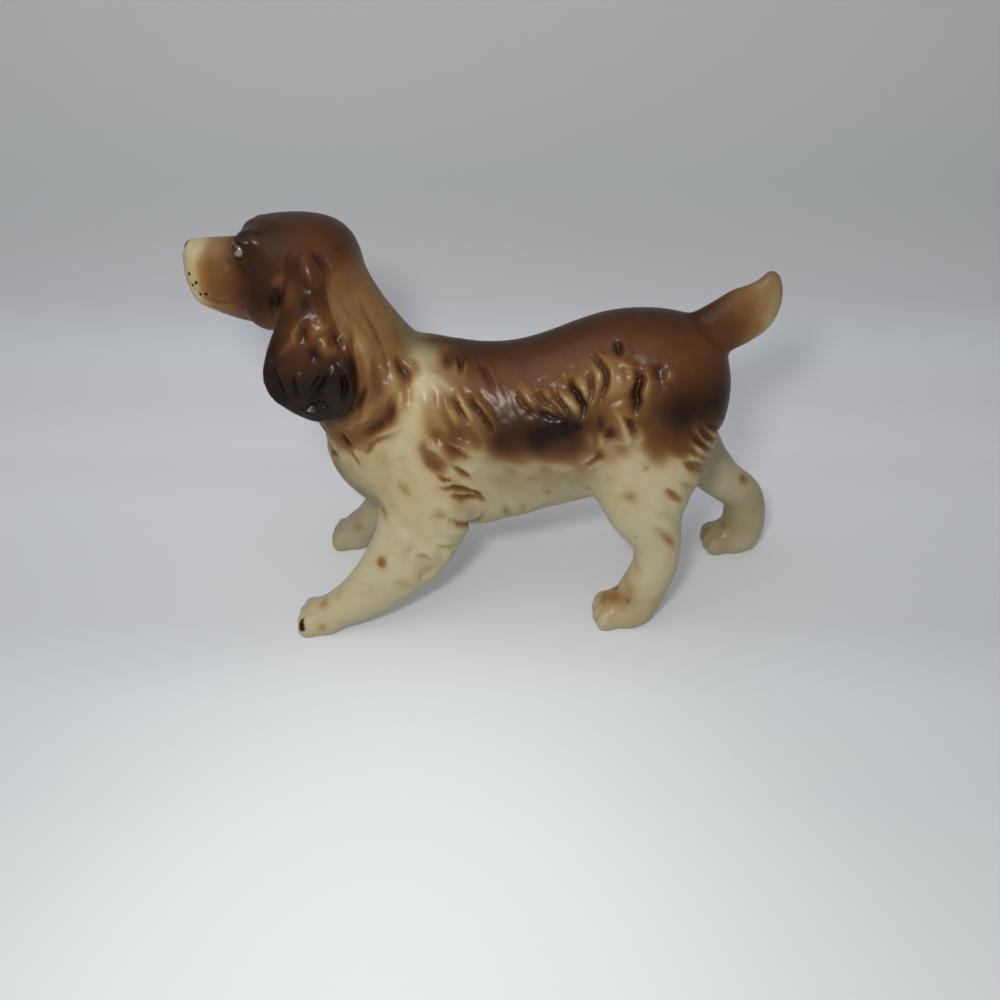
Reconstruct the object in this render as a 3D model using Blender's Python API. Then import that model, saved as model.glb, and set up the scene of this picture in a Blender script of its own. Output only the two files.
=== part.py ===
# Porcelain dog figurine: a walking spaniel, slip-cast in hollow sections.
# The dog faces -X, its left side is -Y and it stands on the plane Z = 0.
# Sizes are in millimetres and become metres when a mesh is made.
import bmesh
import bpy
import numpy as np
from mathutils import Matrix, Vector

MM = 0.001

# Casting
WALL = 3.0
SEAM_GAP = 0.3
VENT_DIAMETER = 5.0
BELLY_VENT_DIAMETER = 4.0
BELLY_VENT_X = 10.0

# Trunk sections from the chest to the rump: x, height of the back, height of the belly, half width
TRUNK = (
    (-43.2, 55.0, 46.0, 4.0),
    (-40.4, 62.0, 39.5, 9.4),
    (-35.0, 70.0, 33.0, 13.8),
    (-28.0, 76.0, 28.5, 16.4),
    (-18.0, 79.2, 25.5, 18.0),
    (-8.0, 77.8, 24.0, 18.4),
    (0.0, 76.8, 24.5, 18.4),
    (8.0, 77.3, 26.5, 18.2),
    (16.0, 79.6, 29.0, 18.0),
    (24.0, 82.8, 31.5, 18.2),
    (32.0, 85.2, 34.0, 18.8),
    (40.0, 85.9, 37.5, 18.8),
    (47.0, 85.4, 42.0, 18.0),
    (53.5, 83.8, 47.0, 16.0),
    (58.5, 80.5, 51.0, 13.0),
    (61.8, 75.5, 55.0, 9.2),
    (63.8, 69.5, 60.0, 4.2),
)

# Neck sections from the skull down into the chest: x, y, z of the centre, half depth, half width
NECK = (
    (-42.0, 0.0, 95.0, 12.6, 12.0),
    (-38.4, 0.0, 85.0, 13.6, 12.6),
    (-34.0, 0.0, 75.0, 15.8, 13.6),
    (-29.0, 0.0, 65.0, 18.4, 15.0),
    (-23.0, 0.0, 54.0, 18.0, 15.5),
)
NECK_SEAM = (-30.0, 0.0, 67.5)
NECK_SEAM_TILT = 40.0

# Head
# Skull and muzzle sections: x, height of the top, height of the underside, half width
SKULL = (
    (-57.6, 105.4, 95.0, 5.0),
    (-56.4, 107.4, 90.0, 8.8),
    (-52.8, 108.8, 85.5, 11.8),
    (-48.0, 109.4, 83.5, 13.5),
    (-42.0, 109.4, 83.5, 14.0),
    (-36.8, 108.4, 84.5, 13.2),
    (-33.0, 106.0, 87.0, 11.2),
    (-30.6, 101.8, 90.0, 7.6),
    (-29.6, 98.0, 93.0, 3.5),
)
MUZZLE = (
    (-48.0, 105.0, 83.0, 10.5),
    (-54.0, 104.4, 82.8, 9.6),
    (-60.0, 104.0, 83.8, 8.4),
    (-66.0, 103.8, 86.0, 7.6),
    (-69.6, 103.4, 88.5, 6.6),
    (-71.8, 101.2, 91.5, 4.2),
)
NOSE_SIZE = (3.4, 6.4, 4.4)
NOSE_CENTRE = (-70.4, 0.0, 101.4)
FLEW_SIZE = (15.0, 7.4, 9.6)
FLEW_CENTRE = (-63.4, 4.4, 92.2)
CHEEK_SIZE = (15.0, 10.0, 15.0)
CHEEK_CENTRE = (-50.5, 8.0, 91.0)
BROW_SIZE = (8.0, 7.0, 5.0)
BROW_CENTRE = (-53.5, 7.0, 105.2)
EYE_DIAMETER = 4.4
EYE_FLATNESS = 0.9
EYE_CENTRE = (-56.0, 6.5, 102.6)
EYE_SOCKET_MARGIN = 0.9
# The socket lies this far in front of the eye, and its width and height are shares of its length
SOCKET_FORWARD = 0.5
SOCKET_WIDTH = 0.7
SOCKET_HEIGHT = 0.8

# Ears: a hanging flap from the hinge beside the skull, one row for each level
# x of the front edge, x of the rear edge, y of the mid plane, z
EAR = (
    (-43.0, -38.5, 9.6, 105.6),
    (-44.4, -36.2, 12.8, 102.8),
    (-44.8, -35.2, 14.2, 99.4),
    (-45.5, -34.0, 15.2, 95.0),
    (-48.0, -32.5, 16.4, 89.0),
    (-51.5, -31.0, 17.4, 82.0),
    (-52.8, -30.2, 18.0, 76.0),
    (-51.6, -30.6, 18.2, 71.0),
    (-47.6, -33.0, 18.0, 66.4),
    (-43.0, -37.5, 17.6, 63.8),
)
EAR_THICKNESS = 6.0
EAR_ROOT_DEPTH = 7.0
EAR_WAVES = 2.5
EAR_WAVE_DEPTH = 0.8

# Tail sections from the root to the tip: x, y, z, half depth, half width
TAIL = (
    (50.0, 0.0, 76.0, 7.0, 6.0),
    (57.0, 0.0, 80.0, 6.8, 5.2),
    (62.8, 0.0, 83.3, 7.4, 4.2),
    (67.2, 0.0, 86.8, 7.2, 3.2),
    (69.8, 0.0, 91.2, 4.6, 2.5),
    (70.6, 0.0, 96.0, 1.4, 1.5),
)
TAIL_SEAM = (60.5, 0.0, 82.0)
TAIL_SEAM_TILT = 52.0

# Paws: length, width, height, and how far the middle of each pad lies above the cut sole as a share of
# its height
FORE_PAW = (17.0, 12.6, 8.8)
HIND_PAW = (20.0, 12.6, 10.5)
PAD_RISE = 0.38
PAD_LENGTH = 0.76
TOES = 4
TOE_SPREAD = 80.0
TOE_SIZE = (8.6, 4.4, 6.6)

# Legs: sections from inside the body to the paw, each the x, y, z of the centre, half depth and half width.
# The second section is the seat on the body and the last lies in the paw. Then the x, y of the paw's middle,
# and the paw's size.
LEGS = {
    "left_foreleg": (
        (
            (-17.0, -10.5, 52.0, 12.0, 8.0),
            (-16.0, -13.0, 39.0, 13.0, 8.2),
            (-18.8, -15.5, 27.4, 11.8, 7.4),
            (-26.4, -18.0, 17.4, 9.4, 6.5),
            (-34.6, -19.6, 10.0, 7.2, 6.0),
            (-42.0, -20.2, 5.6, 5.4, 5.8),
            (-46.5, -20.4, 2.6, 4.8, 5.8),
        ),
        (-45.6, -20.4),
        FORE_PAW,
    ),
    "right_foreleg": (
        (
            (-19.0, 10.5, 52.0, 12.0, 8.0),
            (-20.0, 13.0, 39.0, 11.5, 8.0),
            (-25.0, 15.5, 27.0, 8.8, 7.0),
            (-31.5, 18.0, 17.0, 6.8, 6.2),
            (-37.5, 19.6, 9.5, 5.6, 5.8),
            (-42.0, 20.0, 6.0, 5.0, 5.6),
            (-45.5, 20.2, 2.6, 4.6, 5.6),
        ),
        (-43.0, 20.2),
        FORE_PAW,
    ),
    "left_hind_leg": (
        (
            (42.0, -9.5, 60.0, 17.0, 9.0),
            (41.2, -12.0, 47.0, 15.0, 8.8),
            (42.8, -14.5, 36.0, 10.6, 7.4),
            (46.6, -16.4, 26.5, 6.8, 6.0),
            (46.6, -17.3, 18.0, 6.2, 5.6),
            (43.4, -17.5, 9.0, 6.6, 5.8),
            (41.4, -17.6, 2.0, 5.8, 5.8),
        ),
        (39.8, -17.6),
        HIND_PAW,
    ),
    "right_hind_leg": (
        (
            (45.0, 9.5, 60.0, 16.5, 9.0),
            (52.5, 12.0, 49.5, 13.5, 8.4),
            (61.5, 14.4, 37.5, 9.0, 7.0),
            (71.6, 16.6, 26.8, 6.5, 6.2),
            (79.8, 17.7, 19.5, 6.2, 5.7),
            (81.8, 18.0, 9.0, 6.8, 5.9),
            (80.6, 18.0, 2.0, 6.4, 5.9),
        ),
        (78.8, 18.0),
        HIND_PAW,
    ),
}
LEG_STEPS = 24
BORE_STEPS = 11
VENT_STEPS = 8

# Furrows between the main locks of the moulded coat, the same on both sides of the body
# half width and depth of the furrow, then x, z of the places it runs through
SHOULDER_FURROWS = (
    (1.4, 1.4, (-8.5, 70.5), (-7.0, 67.0), (-5.5, 64.5), (-4.0, 60.5)),
    (1.4, 1.4, (-3.5, 71.0), (-1.5, 67.5), (0.5, 64.5), (2.5, 60.5)),
    (1.6, 1.3, (-21.5, 77.5), (-20.0, 75.0), (-20.0, 72.5), (-21.0, 70.0)),
    (2.2, 1.4, (-14.0, 66.0), (-13.8, 61.0), (-13.0, 55.0), (-10.0, 49.5)),
    (1.5, 1.3, (-8.5, 52.0), (-6.0, 50.0), (-3.0, 46.5)),
    (1.6, 1.3, (-14.5, 45.0), (-8.0, 43.5), (-3.0, 42.5), (-0.5, 39.0)),
)
MANE_FURROWS = (
    (1.6, 1.2, (-29.5, 71.0), (-31.0, 67.5), (-32.5, 63.5)),
    (1.8, 1.1, (-22.5, 68.5), (-24.0, 65.0), (-27.5, 61.5), (-32.0, 59.5)),
    (1.5, 1.1, (-22.0, 59.0), (-26.5, 57.0), (-30.0, 53.5), (-32.5, 49.5)),
    (1.5, 1.2, (-37.5, 58.0), (-36.0, 55.5), (-34.5, 52.0)),
)
FLANK_FURROWS = (
    (1.4, 1.2, (7.5, 71.0), (8.5, 67.5), (11.0, 63.0)),
    (1.4, 1.2, (13.5, 70.0), (15.5, 67.5), (19.0, 64.5)),
    (1.5, 1.4, (21.0, 74.5), (21.5, 71.5), (24.0, 68.5), (24.5, 64.5)),
    (1.4, 1.3, (27.0, 78.5), (29.0, 76.5), (29.5, 72.5), (28.0, 69.0)),
)
THIGH_FURROWS = (
    (1.6, 1.4, (36.0, 76.5), (36.0, 72.5), (37.5, 68.5), (37.0, 64.5)),
    (1.6, 1.4, (33.5, 66.0), (36.0, 63.0), (37.0, 59.0)),
    (1.6, 1.2, (29.0, 59.5), (31.0, 61.0), (33.0, 62.5)),
    (1.6, 1.0, (40.0, 72.0), (41.0, 75.5), (43.0, 78.5)),
    (1.5, 1.3, (48.5, 54.5), (51.5, 50.5), (56.5, 47.0)),
    (1.5, 1.3, (50.0, 60.0), (53.5, 55.5), (57.0, 52.5)),
    (1.5, 1.2, (51.0, 65.0), (53.0, 61.0), (57.0, 57.5)),
)
FURROWS = SHOULDER_FURROWS + MANE_FURROWS + FLANK_FURROWS + THIGH_FURROWS
# Height of the lock beside a furrow as a share of the furrow's depth, and the most that crossing furrows
# add up to
LOCK_SHARE = 0.5
FURROW_LIMIT = 1.4
# Distance from the middle plane at which the furrows begin, and that at which they have their full depth
FURROW_START = 5.0
FURROW_FULL = 10.0

# Least half size of a section, which closes the end of a cavity or bore
LEAST_HALF = 0.4

# Grain and smoothing of each clay surface, and the number of facets it is cut down to
BODY_GRAIN = 0.9
BODY_SMOOTHING = 8
BODY_TRIANGLES = 5600
CAVITY_TRIANGLES = 900
LEG_GRAIN = 0.6
LEG_SMOOTHING = 8
LEG_TRIANGLES = 700
SPONGE_FACTOR = 0.5

GLAZES = {
    "torso": (0.42, 0.17, 0.06),
    "head": (0.33, 0.10, 0.04),
    "left_ear": (0.14, 0.05, 0.03),
    "right_ear": (0.14, 0.05, 0.03),
    "tail": (0.50, 0.27, 0.13),
    "left_foreleg": (0.78, 0.70, 0.50),
    "right_foreleg": (0.78, 0.70, 0.50),
    "left_hind_leg": (0.78, 0.70, 0.50),
    "right_hind_leg": (0.78, 0.70, 0.50),
}
GLAZE_ROUGHNESS = 0.12


def curve_through(rows, count):
    """Rows of numbers along a smooth curve (Catmull-Rom) through the given rows."""
    rows = np.array(rows, float)
    ends = np.concatenate([[2 * rows[0] - rows[1]], rows, [2 * rows[-1] - rows[-2]]])
    at = np.linspace(0, len(rows) - 1, count)
    k = np.minimum(at.astype(int), len(rows) - 2)
    t = (at - k)[:, None]
    a, b, c, d = (ends[k + i] for i in range(4))
    return 0.5 * (2 * b + (c - a) * t + (2 * a - 5 * b + 4 * c - d) * t**2 + (3 * b - a - 3 * c + d) * t**3)


def mesh_object(name, points, faces):
    """A closed mesh object from points in millimetres."""
    mesh = bpy.data.meshes.new(name)
    mesh.from_pydata((np.asarray(points) * MM).tolist(), [], faces)
    made = bmesh.new()
    made.from_mesh(mesh)
    bmesh.ops.recalc_face_normals(made, faces=made.faces)
    made.to_mesh(mesh)
    made.free()
    obj = bpy.data.objects.new(name, mesh)
    bpy.context.scene.collection.objects.link(obj)
    return obj


def ringed(name, rings):
    """A closed skin over rings of points, each end closed to the middle of its ring."""
    count, across = rings.shape[:2]
    faces = []
    for i in range(count - 1):
        for j in range(across):
            k = (j + 1) % across
            faces.append((i * across + j, i * across + k, (i + 1) * across + k, (i + 1) * across + j))
    first, last = count * across, count * across + 1
    for j in range(across):
        k = (j + 1) % across
        faces.append((first, k, j))
        faces.append((last, (count - 1) * across + j, (count - 1) * across + k))
    points = np.concatenate([rings.reshape(-1, 3), [rings[0].mean(0)], [rings[-1].mean(0)]])
    return mesh_object(name, points, faces)


def limb(name, sections, inset=0.0, along=24, across=20):
    """A loft along centre points, each ring square to the path. Sections: x, y, z, half depth, half width."""
    rows = curve_through(sections, along)
    centre = rows[:, :3]
    depth = np.maximum(rows[:, 3:4] - inset, LEAST_HALF)
    width = np.maximum(rows[:, 4:5] - inset, LEAST_HALF)
    way = np.gradient(centre, axis=0)
    way /= np.linalg.norm(way, axis=1, keepdims=True)
    side = np.array([0.0, 1.0, 0.0]) - way * way[:, 1:2]
    side /= np.linalg.norm(side, axis=1, keepdims=True)
    front = np.cross(way, side)
    turn = np.linspace(0, 2 * np.pi, across, endpoint=False)[:, None, None]
    rings = centre + side * width * np.cos(turn) + front * depth * np.sin(turn)
    return ringed(name, rings.transpose(1, 0, 2))


def barrel(name, sections, inset=0.0, along=36, across=28):
    """A loft of upright oval rings. Sections: x, top, bottom, half width."""
    x, top, bottom, width = curve_through(sections, along).T
    middle = (top + bottom) / 2
    height = np.maximum((top - bottom) / 2 - inset, LEAST_HALF)
    width = np.maximum(width - inset, LEAST_HALF)
    x = x.clip(x.min() + inset, x.max() - inset)
    turn = np.linspace(0, 2 * np.pi, across, endpoint=False)
    ring_x = x + 0 * turn[:, None]
    ring_y = width * np.cos(turn)[:, None]
    ring_z = middle + height * np.sin(turn)[:, None]
    return ringed(name, np.stack([ring_x, ring_y, ring_z], -1).transpose(1, 0, 2))


def lobe(name, centre, size, inset=0.0, heading=0.0, across=14):
    """An ellipsoid of full size (length, width, height), turned about Z by the heading in degrees."""
    rise = np.linspace(-np.pi / 2, np.pi / 2, across // 2 + 3)[1:-1]
    turn = np.linspace(0, 2 * np.pi, across, endpoint=False)
    half = np.array(size) / 2 - inset
    ball = np.stack(
        [
            np.cos(rise)[:, None] * np.cos(turn),
            np.cos(rise)[:, None] * np.sin(turn),
            np.sin(rise)[:, None] + 0 * turn,
        ],
        -1,
    )
    swing = np.array(Matrix.Rotation(np.radians(heading), 3, "Z"))
    return ringed(name, (ball * half) @ swing.T + np.array(centre))


def applied(obj):
    """The object with its modifiers made real."""
    graph = bpy.context.evaluated_depsgraph_get()
    mesh = bpy.data.meshes.new_from_object(obj.evaluated_get(graph))
    obj.modifiers.clear()
    obj.data = mesh
    return obj


def joined(name, shapes):
    """One object holding the meshes of all the shapes."""
    made = bmesh.new()
    for shape in shapes:
        made.from_mesh(shape.data)
        bpy.data.objects.remove(shape)
    mesh = bpy.data.meshes.new(name)
    made.to_mesh(mesh)
    made.free()
    obj = bpy.data.objects.new(name, mesh)
    bpy.context.scene.collection.objects.link(obj)
    return obj


def clay(name, shapes, grain, smoothing):
    """The shapes pressed into one smooth skin."""
    obj = joined(name, shapes)
    remesh = obj.modifiers.new("clay", "REMESH")
    remesh.mode = "VOXEL"
    remesh.voxel_size = grain * MM
    smooth = obj.modifiers.new("sponge", "SMOOTH")
    smooth.factor = SPONGE_FACTOR
    smooth.iterations = int(smoothing)
    return applied(obj)


def furrowed(obj):
    """Presses the furrows into both sides of the skin, square to the middle plane, and lifts a lock beside
    each. A furrow is a bell curve across its path and runs out at its two ends."""
    mesh = obj.data
    points = np.empty(len(mesh.vertices) * 3, np.float32)
    mesh.vertices.foreach_get("co", points)
    points = points.reshape(-1, 3) / MM
    press = np.zeros(len(points))
    for width, depth, *places in FURROWS:
        path = curve_through(places, 9 * len(places))
        away = np.sqrt(((points[:, None, [0, 2]] - path) ** 2).sum(-1))
        along = away.argmin(1) / (len(path) - 1)
        taper = np.sqrt(np.sin(np.pi * along.clip(0.04, 0.96)))
        near = away.min(1) / width
        press += depth * taper * (np.exp(-(near**2)) - LOCK_SHARE * np.exp(-((near - 2) ** 2)))
    reach = (np.abs(points[:, 1]) - FURROW_START) / (FURROW_FULL - FURROW_START)
    points[:, 1] -= np.sign(points[:, 1]) * reach.clip(0, 1) * press.clip(-FURROW_LIMIT, FURROW_LIMIT)
    mesh.vertices.foreach_set("co", (points * MM).ravel().astype(np.float32))
    mesh.update()
    return obj


def faceted(obj, triangles):
    """The skin cut down to about this many triangles."""
    fine = sum(len(face.vertices) - 2 for face in obj.data.polygons)
    reduce = obj.modifiers.new("facets", "DECIMATE")
    reduce.ratio = min(1.0, triangles / fine)
    return applied(obj)


def grown(obj, by):
    """A copy of the object with its skin moved outwards."""
    copy = bpy.data.objects.new(obj.name + "_grown", obj.data.copy())
    bpy.context.scene.collection.objects.link(copy)
    mesh = copy.data
    points = np.empty(len(mesh.vertices) * 3, np.float32)
    normals = np.empty(len(mesh.vertices) * 3, np.float32)
    mesh.vertices.foreach_get("co", points)
    mesh.vertex_normals.foreach_get("vector", normals)
    mesh.vertices.foreach_set("co", points + normals * np.float32(by * MM))
    mesh.update()
    return copy


def cut(obj, cutter, operation="DIFFERENCE"):
    """Applies an exact Boolean to the object."""
    boolean = obj.modifiers.new("cut", "BOOLEAN")
    boolean.operation = operation
    boolean.solver = "EXACT"
    boolean.object = cutter
    return applied(obj)


def rod(name, start, end, diameter):
    """A round cutter between two points."""
    start, end = Vector(start), Vector(end)
    made = bmesh.new()
    bmesh.ops.create_cone(
        made,
        cap_ends=True,
        segments=16,
        radius1=diameter / 2 * MM,
        radius2=diameter / 2 * MM,
        depth=(end - start).length * MM,
    )
    turn = (end - start).to_track_quat("Z", "Y").to_matrix().to_4x4()
    bmesh.ops.transform(made, matrix=Matrix.Translation((start + end) / 2 * MM) @ turn, verts=made.verts)
    mesh = bpy.data.meshes.new(name)
    made.to_mesh(mesh)
    made.free()
    obj = bpy.data.objects.new(name, mesh)
    bpy.context.scene.collection.objects.link(obj)
    return obj


def parted(obj, name, point, way, gap):
    """A copy of the object that keeps what lies ahead of a plane, with half the seam's gap taken off."""
    made = bmesh.new()
    made.from_mesh(obj.data)
    place = Vector(point) * MM + Vector(way) * gap / 2 * MM
    geometry = made.verts[:] + made.edges[:] + made.faces[:]
    found = bmesh.ops.bisect_plane(made, geom=geometry, plane_co=place, plane_no=way, clear_inner=True)
    rims = [item for item in found["geom_cut"] if isinstance(item, bmesh.types.BMEdge)]
    bmesh.ops.triangle_fill(made, use_beauty=True, edges=rims, normal=-Vector(way))
    bmesh.ops.recalc_face_normals(made, faces=made.faces)
    mesh = bpy.data.meshes.new(name)
    made.to_mesh(mesh)
    made.free()
    piece = bpy.data.objects.new(name, mesh)
    bpy.context.scene.collection.objects.link(piece)
    return piece


def both_sides(name, centre, size):
    """A lobe on each side of the middle."""
    x, y, z = centre
    return [lobe(name, (x, side * y, z), size) for side in (-1, 1)]


def rising(degrees):
    """A direction in the XZ plane, this many degrees up from +X."""
    return Vector((np.cos(np.radians(degrees)), 0.0, np.sin(np.radians(degrees))))


def body_forms(inset=0.0):
    """Trunk, neck and skull, with the muscle above each leg."""
    forms = [barrel("trunk", TRUNK, inset), limb("neck", NECK, inset), barrel("skull", SKULL, inset)]
    forms += [limb("muscle", muscle_of(sections), inset) for sections, _, _ in LEGS.values()]
    return forms


def muscle_of(sections):
    """The rounded upper part of a leg that belongs to the body and ends at the leg's seat."""
    root, seat = sections[:2]
    x, y, z, depth, width = root
    crown = (x, y, z + 0.75 * depth, 0.5 * depth, 0.5 * width)
    brow = (x, y, z + 0.4 * depth, 0.9 * depth, 0.9 * width)
    return (crown, brow, root, seat)


def head_forms():
    """Muzzle, nose, lips, cheeks, brows and eyes."""
    forms = [barrel("muzzle", MUZZLE, along=16, across=20), lobe("nose", NOSE_CENTRE, NOSE_SIZE)]
    forms += both_sides("flew", FLEW_CENTRE, FLEW_SIZE)
    forms += both_sides("cheek", CHEEK_CENTRE, CHEEK_SIZE)
    forms += both_sides("brow", BROW_CENTRE, BROW_SIZE)
    return forms


def paw_forms(place, size):
    """A paw with its toes in a fan. Its forms reach below the floor plane, where the sole is cut flat."""
    x, y = place
    length, width, height = size
    pad_size = (PAD_LENGTH * length, width, 2 * (1 - PAD_RISE) * height)
    forms = [lobe("pad", (x, y, PAD_RISE * height), pad_size)]
    toe_length, toe_width, toe_height = TOE_SIZE
    toe_size = (toe_length, toe_width, 2 * (1 - PAD_RISE) * toe_height)
    reach = (length - toe_length) / 2
    half_fan = (width - toe_width) / 2
    for turn in np.radians(np.linspace(-TOE_SPREAD / 2, TOE_SPREAD / 2, TOES)):
        aside = half_fan * np.sin(turn) / np.sin(np.radians(TOE_SPREAD / 2))
        ahead = reach * np.cos(0.8 * turn)
        centre = (x - ahead, y + aside, PAD_RISE * toe_height)
        forms.append(lobe("toe", centre, toe_size, heading=-np.degrees(turn) / 2))
    return forms


def on_floor(obj):
    """The object cut flat at the plane it stands on."""
    piece = parted(obj, obj.name + "_cut", (0, 0, 0), (0, 0, 1), 0.0)
    bpy.data.objects.remove(obj)
    return piece


def leg_piece(sections, paw, paw_size, seat):
    """A leg with its paw, cut to its seat on the body and bored from the seat."""
    forms = [limb("shank", sections[1:]), *paw_forms(paw, paw_size)]
    leg = on_floor(faceted(clay("leg", forms, LEG_GRAIN, LEG_SMOOTHING), LEG_TRIANGLES))
    cut(leg, seat)
    bore = limb("bore", curve_through(sections, LEG_STEPS)[:BORE_STEPS], inset=WALL, along=8, across=12)
    cut(leg, bore)
    bpy.data.objects.remove(bore)
    return leg


def ear_piece(name, side, seat):
    """A hanging ear with moulded waves, cut to its seat against the skull and neck."""
    across, down = 14, 22
    front, rear, middle, level = curve_through(EAR, down).T[:, :, None]
    u = np.linspace(-1, 1, across)
    v = np.linspace(0, 1, down)[:, None]
    x = (front + rear) / 2 + (rear - front) / 2 * u
    rim = np.sqrt(1 - 0.98 * u**2)
    snake = 0.5 * np.sin(3.0 * np.pi * v)
    wave = EAR_WAVE_DEPTH * np.sin(np.pi * (EAR_WAVES * u + snake)) * rim * np.sin(np.pi * v)
    close = np.sin(np.pi * v.clip(0.02, 0.98)) ** 0.35
    outer = side * (middle + (EAR_THICKNESS / 2 * rim + wave) * close)
    inner = side * (middle - (EAR_THICKNESS / 2 + EAR_ROOT_DEPTH * (1 - v)) * rim * close)
    z = level + 0 * u
    ring = np.concatenate([np.stack([x, outer, z], -1), np.stack([x, inner, z], -1)[:, ::-1]], 1)
    ear = ringed(name, ring)
    return cut(ear, seat)


def finish(obj, name):
    """Names the node and gives it its glaze."""
    obj.name = name
    obj.data.name = name
    glaze = bpy.data.materials.new(name + "_glaze")
    glaze.use_nodes = True
    surface = glaze.node_tree.nodes["Principled BSDF"]
    surface.inputs["Base Color"].default_value = (*GLAZES[name], 1.0)
    surface.inputs["Roughness"].default_value = GLAZE_ROUGHNESS
    surface.inputs["Metallic"].default_value = 0.0
    obj.data.materials.clear()
    obj.data.materials.append(glaze)


def eye_sockets(skin):
    """Hollows each eye into the skin and sets a ball in it."""
    x, y, z = EYE_CENTRE
    length = EYE_DIAMETER + 2 * EYE_SOCKET_MARGIN
    width = SOCKET_WIDTH * length
    place = (x - SOCKET_FORWARD, y + width / 2, z)
    for hollow in both_sides("socket", place, (length, width, SOCKET_HEIGHT * length)):
        cut(skin, hollow)
        bpy.data.objects.remove(hollow)
    for ball in both_sides("eye", EYE_CENTRE, (EYE_DIAMETER, EYE_DIAMETER, EYE_FLATNESS * EYE_DIAMETER)):
        cut(skin, ball, "UNION")
        bpy.data.objects.remove(ball)


def bore_vents(torso):
    """Opens the torso's wall above each leg, and under the belly."""
    trunk_x, top, bottom, _ = np.array(TRUNK).T
    inside = np.interp(BELLY_VENT_X, trunk_x, (top + bottom) / 2)
    vents = [rod("belly_vent", (BELLY_VENT_X, 0, 0), (BELLY_VENT_X, 0, inside), BELLY_VENT_DIAMETER)]
    for sections, _, _ in LEGS.values():
        path = curve_through(sections, LEG_STEPS)
        vents.append(rod("vent", path[0][:3], path[VENT_STEPS][:3], VENT_DIAMETER))
    for vent in vents:
        cut(torso, vent)
        bpy.data.objects.remove(vent)


def centred(pieces):
    """Moves all pieces together, so that the middle of their bounding box is over the origin."""
    corners = np.array([obj.matrix_world @ Vector(corner) for obj in pieces for corner in obj.bound_box])
    low, high = corners.min(0), corners.max(0)
    shift = Matrix.Translation((-(low[0] + high[0]) / 2, -(low[1] + high[1]) / 2, -low[2]))
    for obj in pieces:
        obj.data.transform(shift)
    print("moved by", shift.translation / MM, "mm")


def build():
    for obj in list(bpy.data.objects):
        bpy.data.objects.remove(obj)

    forms = body_forms() + head_forms() + [limb("tail", TAIL)]
    skin = faceted(furrowed(clay("skin", forms, BODY_GRAIN, BODY_SMOOTHING)), BODY_TRIANGLES)
    cavity = faceted(clay("cavity", body_forms(inset=WALL), BODY_GRAIN, BODY_SMOOTHING), CAVITY_TRIANGLES)
    seat = grown(skin, SEAM_GAP)

    pieces = {name: leg_piece(*leg, seat) for name, leg in LEGS.items()}
    pieces["left_ear"] = ear_piece("left_ear", -1, seat)
    pieces["right_ear"] = ear_piece("right_ear", 1, seat)

    eye_sockets(skin)
    cut(skin, cavity)
    neck_way = rising(180 - NECK_SEAM_TILT)
    tail_way = rising(TAIL_SEAM_TILT)
    trunk = parted(skin, "trunk_cut", NECK_SEAM, -neck_way, SEAM_GAP)
    pieces["head"] = parted(skin, "head_cut", NECK_SEAM, neck_way, SEAM_GAP)
    pieces["tail"] = parted(trunk, "tail_cut", TAIL_SEAM, tail_way, SEAM_GAP)
    pieces["torso"] = parted(trunk, "torso_cut", TAIL_SEAM, -tail_way, SEAM_GAP)
    bore_vents(pieces["torso"])
    for helper in (skin, cavity, seat, trunk):
        bpy.data.objects.remove(helper)

    for name, obj in pieces.items():
        finish(obj, name)
    centred(list(pieces.values()))


build()
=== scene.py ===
# %% [markdown]
# A porcelain dog figurine, as a lesson in cells.
# The real one is a walking spaniel, cast hollow in a few sections that were joined with liquid clay,
# sponged smooth, sprayed with brown and ivory colour, touched up with a fine brush and dipped in clear
# glaze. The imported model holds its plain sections. This file makes what the eye sees: the modelled coat,
# the painted face, the sprayed colours and the gloss.

import bpy
import numpy as np
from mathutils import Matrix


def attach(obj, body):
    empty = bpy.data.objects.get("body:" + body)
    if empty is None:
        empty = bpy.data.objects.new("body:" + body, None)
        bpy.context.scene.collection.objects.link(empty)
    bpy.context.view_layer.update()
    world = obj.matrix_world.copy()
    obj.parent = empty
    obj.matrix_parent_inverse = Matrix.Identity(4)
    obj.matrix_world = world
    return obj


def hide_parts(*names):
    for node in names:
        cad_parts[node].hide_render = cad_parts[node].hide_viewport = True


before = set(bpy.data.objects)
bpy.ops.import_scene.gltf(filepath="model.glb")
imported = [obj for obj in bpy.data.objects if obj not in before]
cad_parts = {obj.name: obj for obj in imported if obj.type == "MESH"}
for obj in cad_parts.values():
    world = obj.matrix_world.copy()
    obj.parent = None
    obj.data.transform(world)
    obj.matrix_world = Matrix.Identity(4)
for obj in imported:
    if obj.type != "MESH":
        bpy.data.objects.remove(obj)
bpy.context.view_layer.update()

MM = 0.001

# %% [markdown]
# The camera stands in front of the dog's left side and looks down at it, as one holds a phone over a table.
# The lens is a little wide, so the near legs look larger than the far ones.

# %% Camera
CAMERA_PLACE = (-4.5, -193.7, 155.1)
CAMERA_DOWN = 33.0
LENS = 28.8
SENSOR = 36.0

camera_data = bpy.data.cameras.new("camera")
camera_data.lens = LENS
camera_data.sensor_width = SENSOR
camera_data.clip_start = 0.01
camera_data.clip_end = 10.0
camera = bpy.data.objects.new("camera", camera_data)
camera.location = np.array(CAMERA_PLACE) * MM
camera.rotation_euler = (np.radians(90 - CAMERA_DOWN), 0.0, 0.0)
bpy.context.scene.collection.objects.link(camera)
bpy.context.scene.camera = camera
print("camera at", CAMERA_PLACE, "mm, looking", CAMERA_DOWN, "degrees down")

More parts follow.
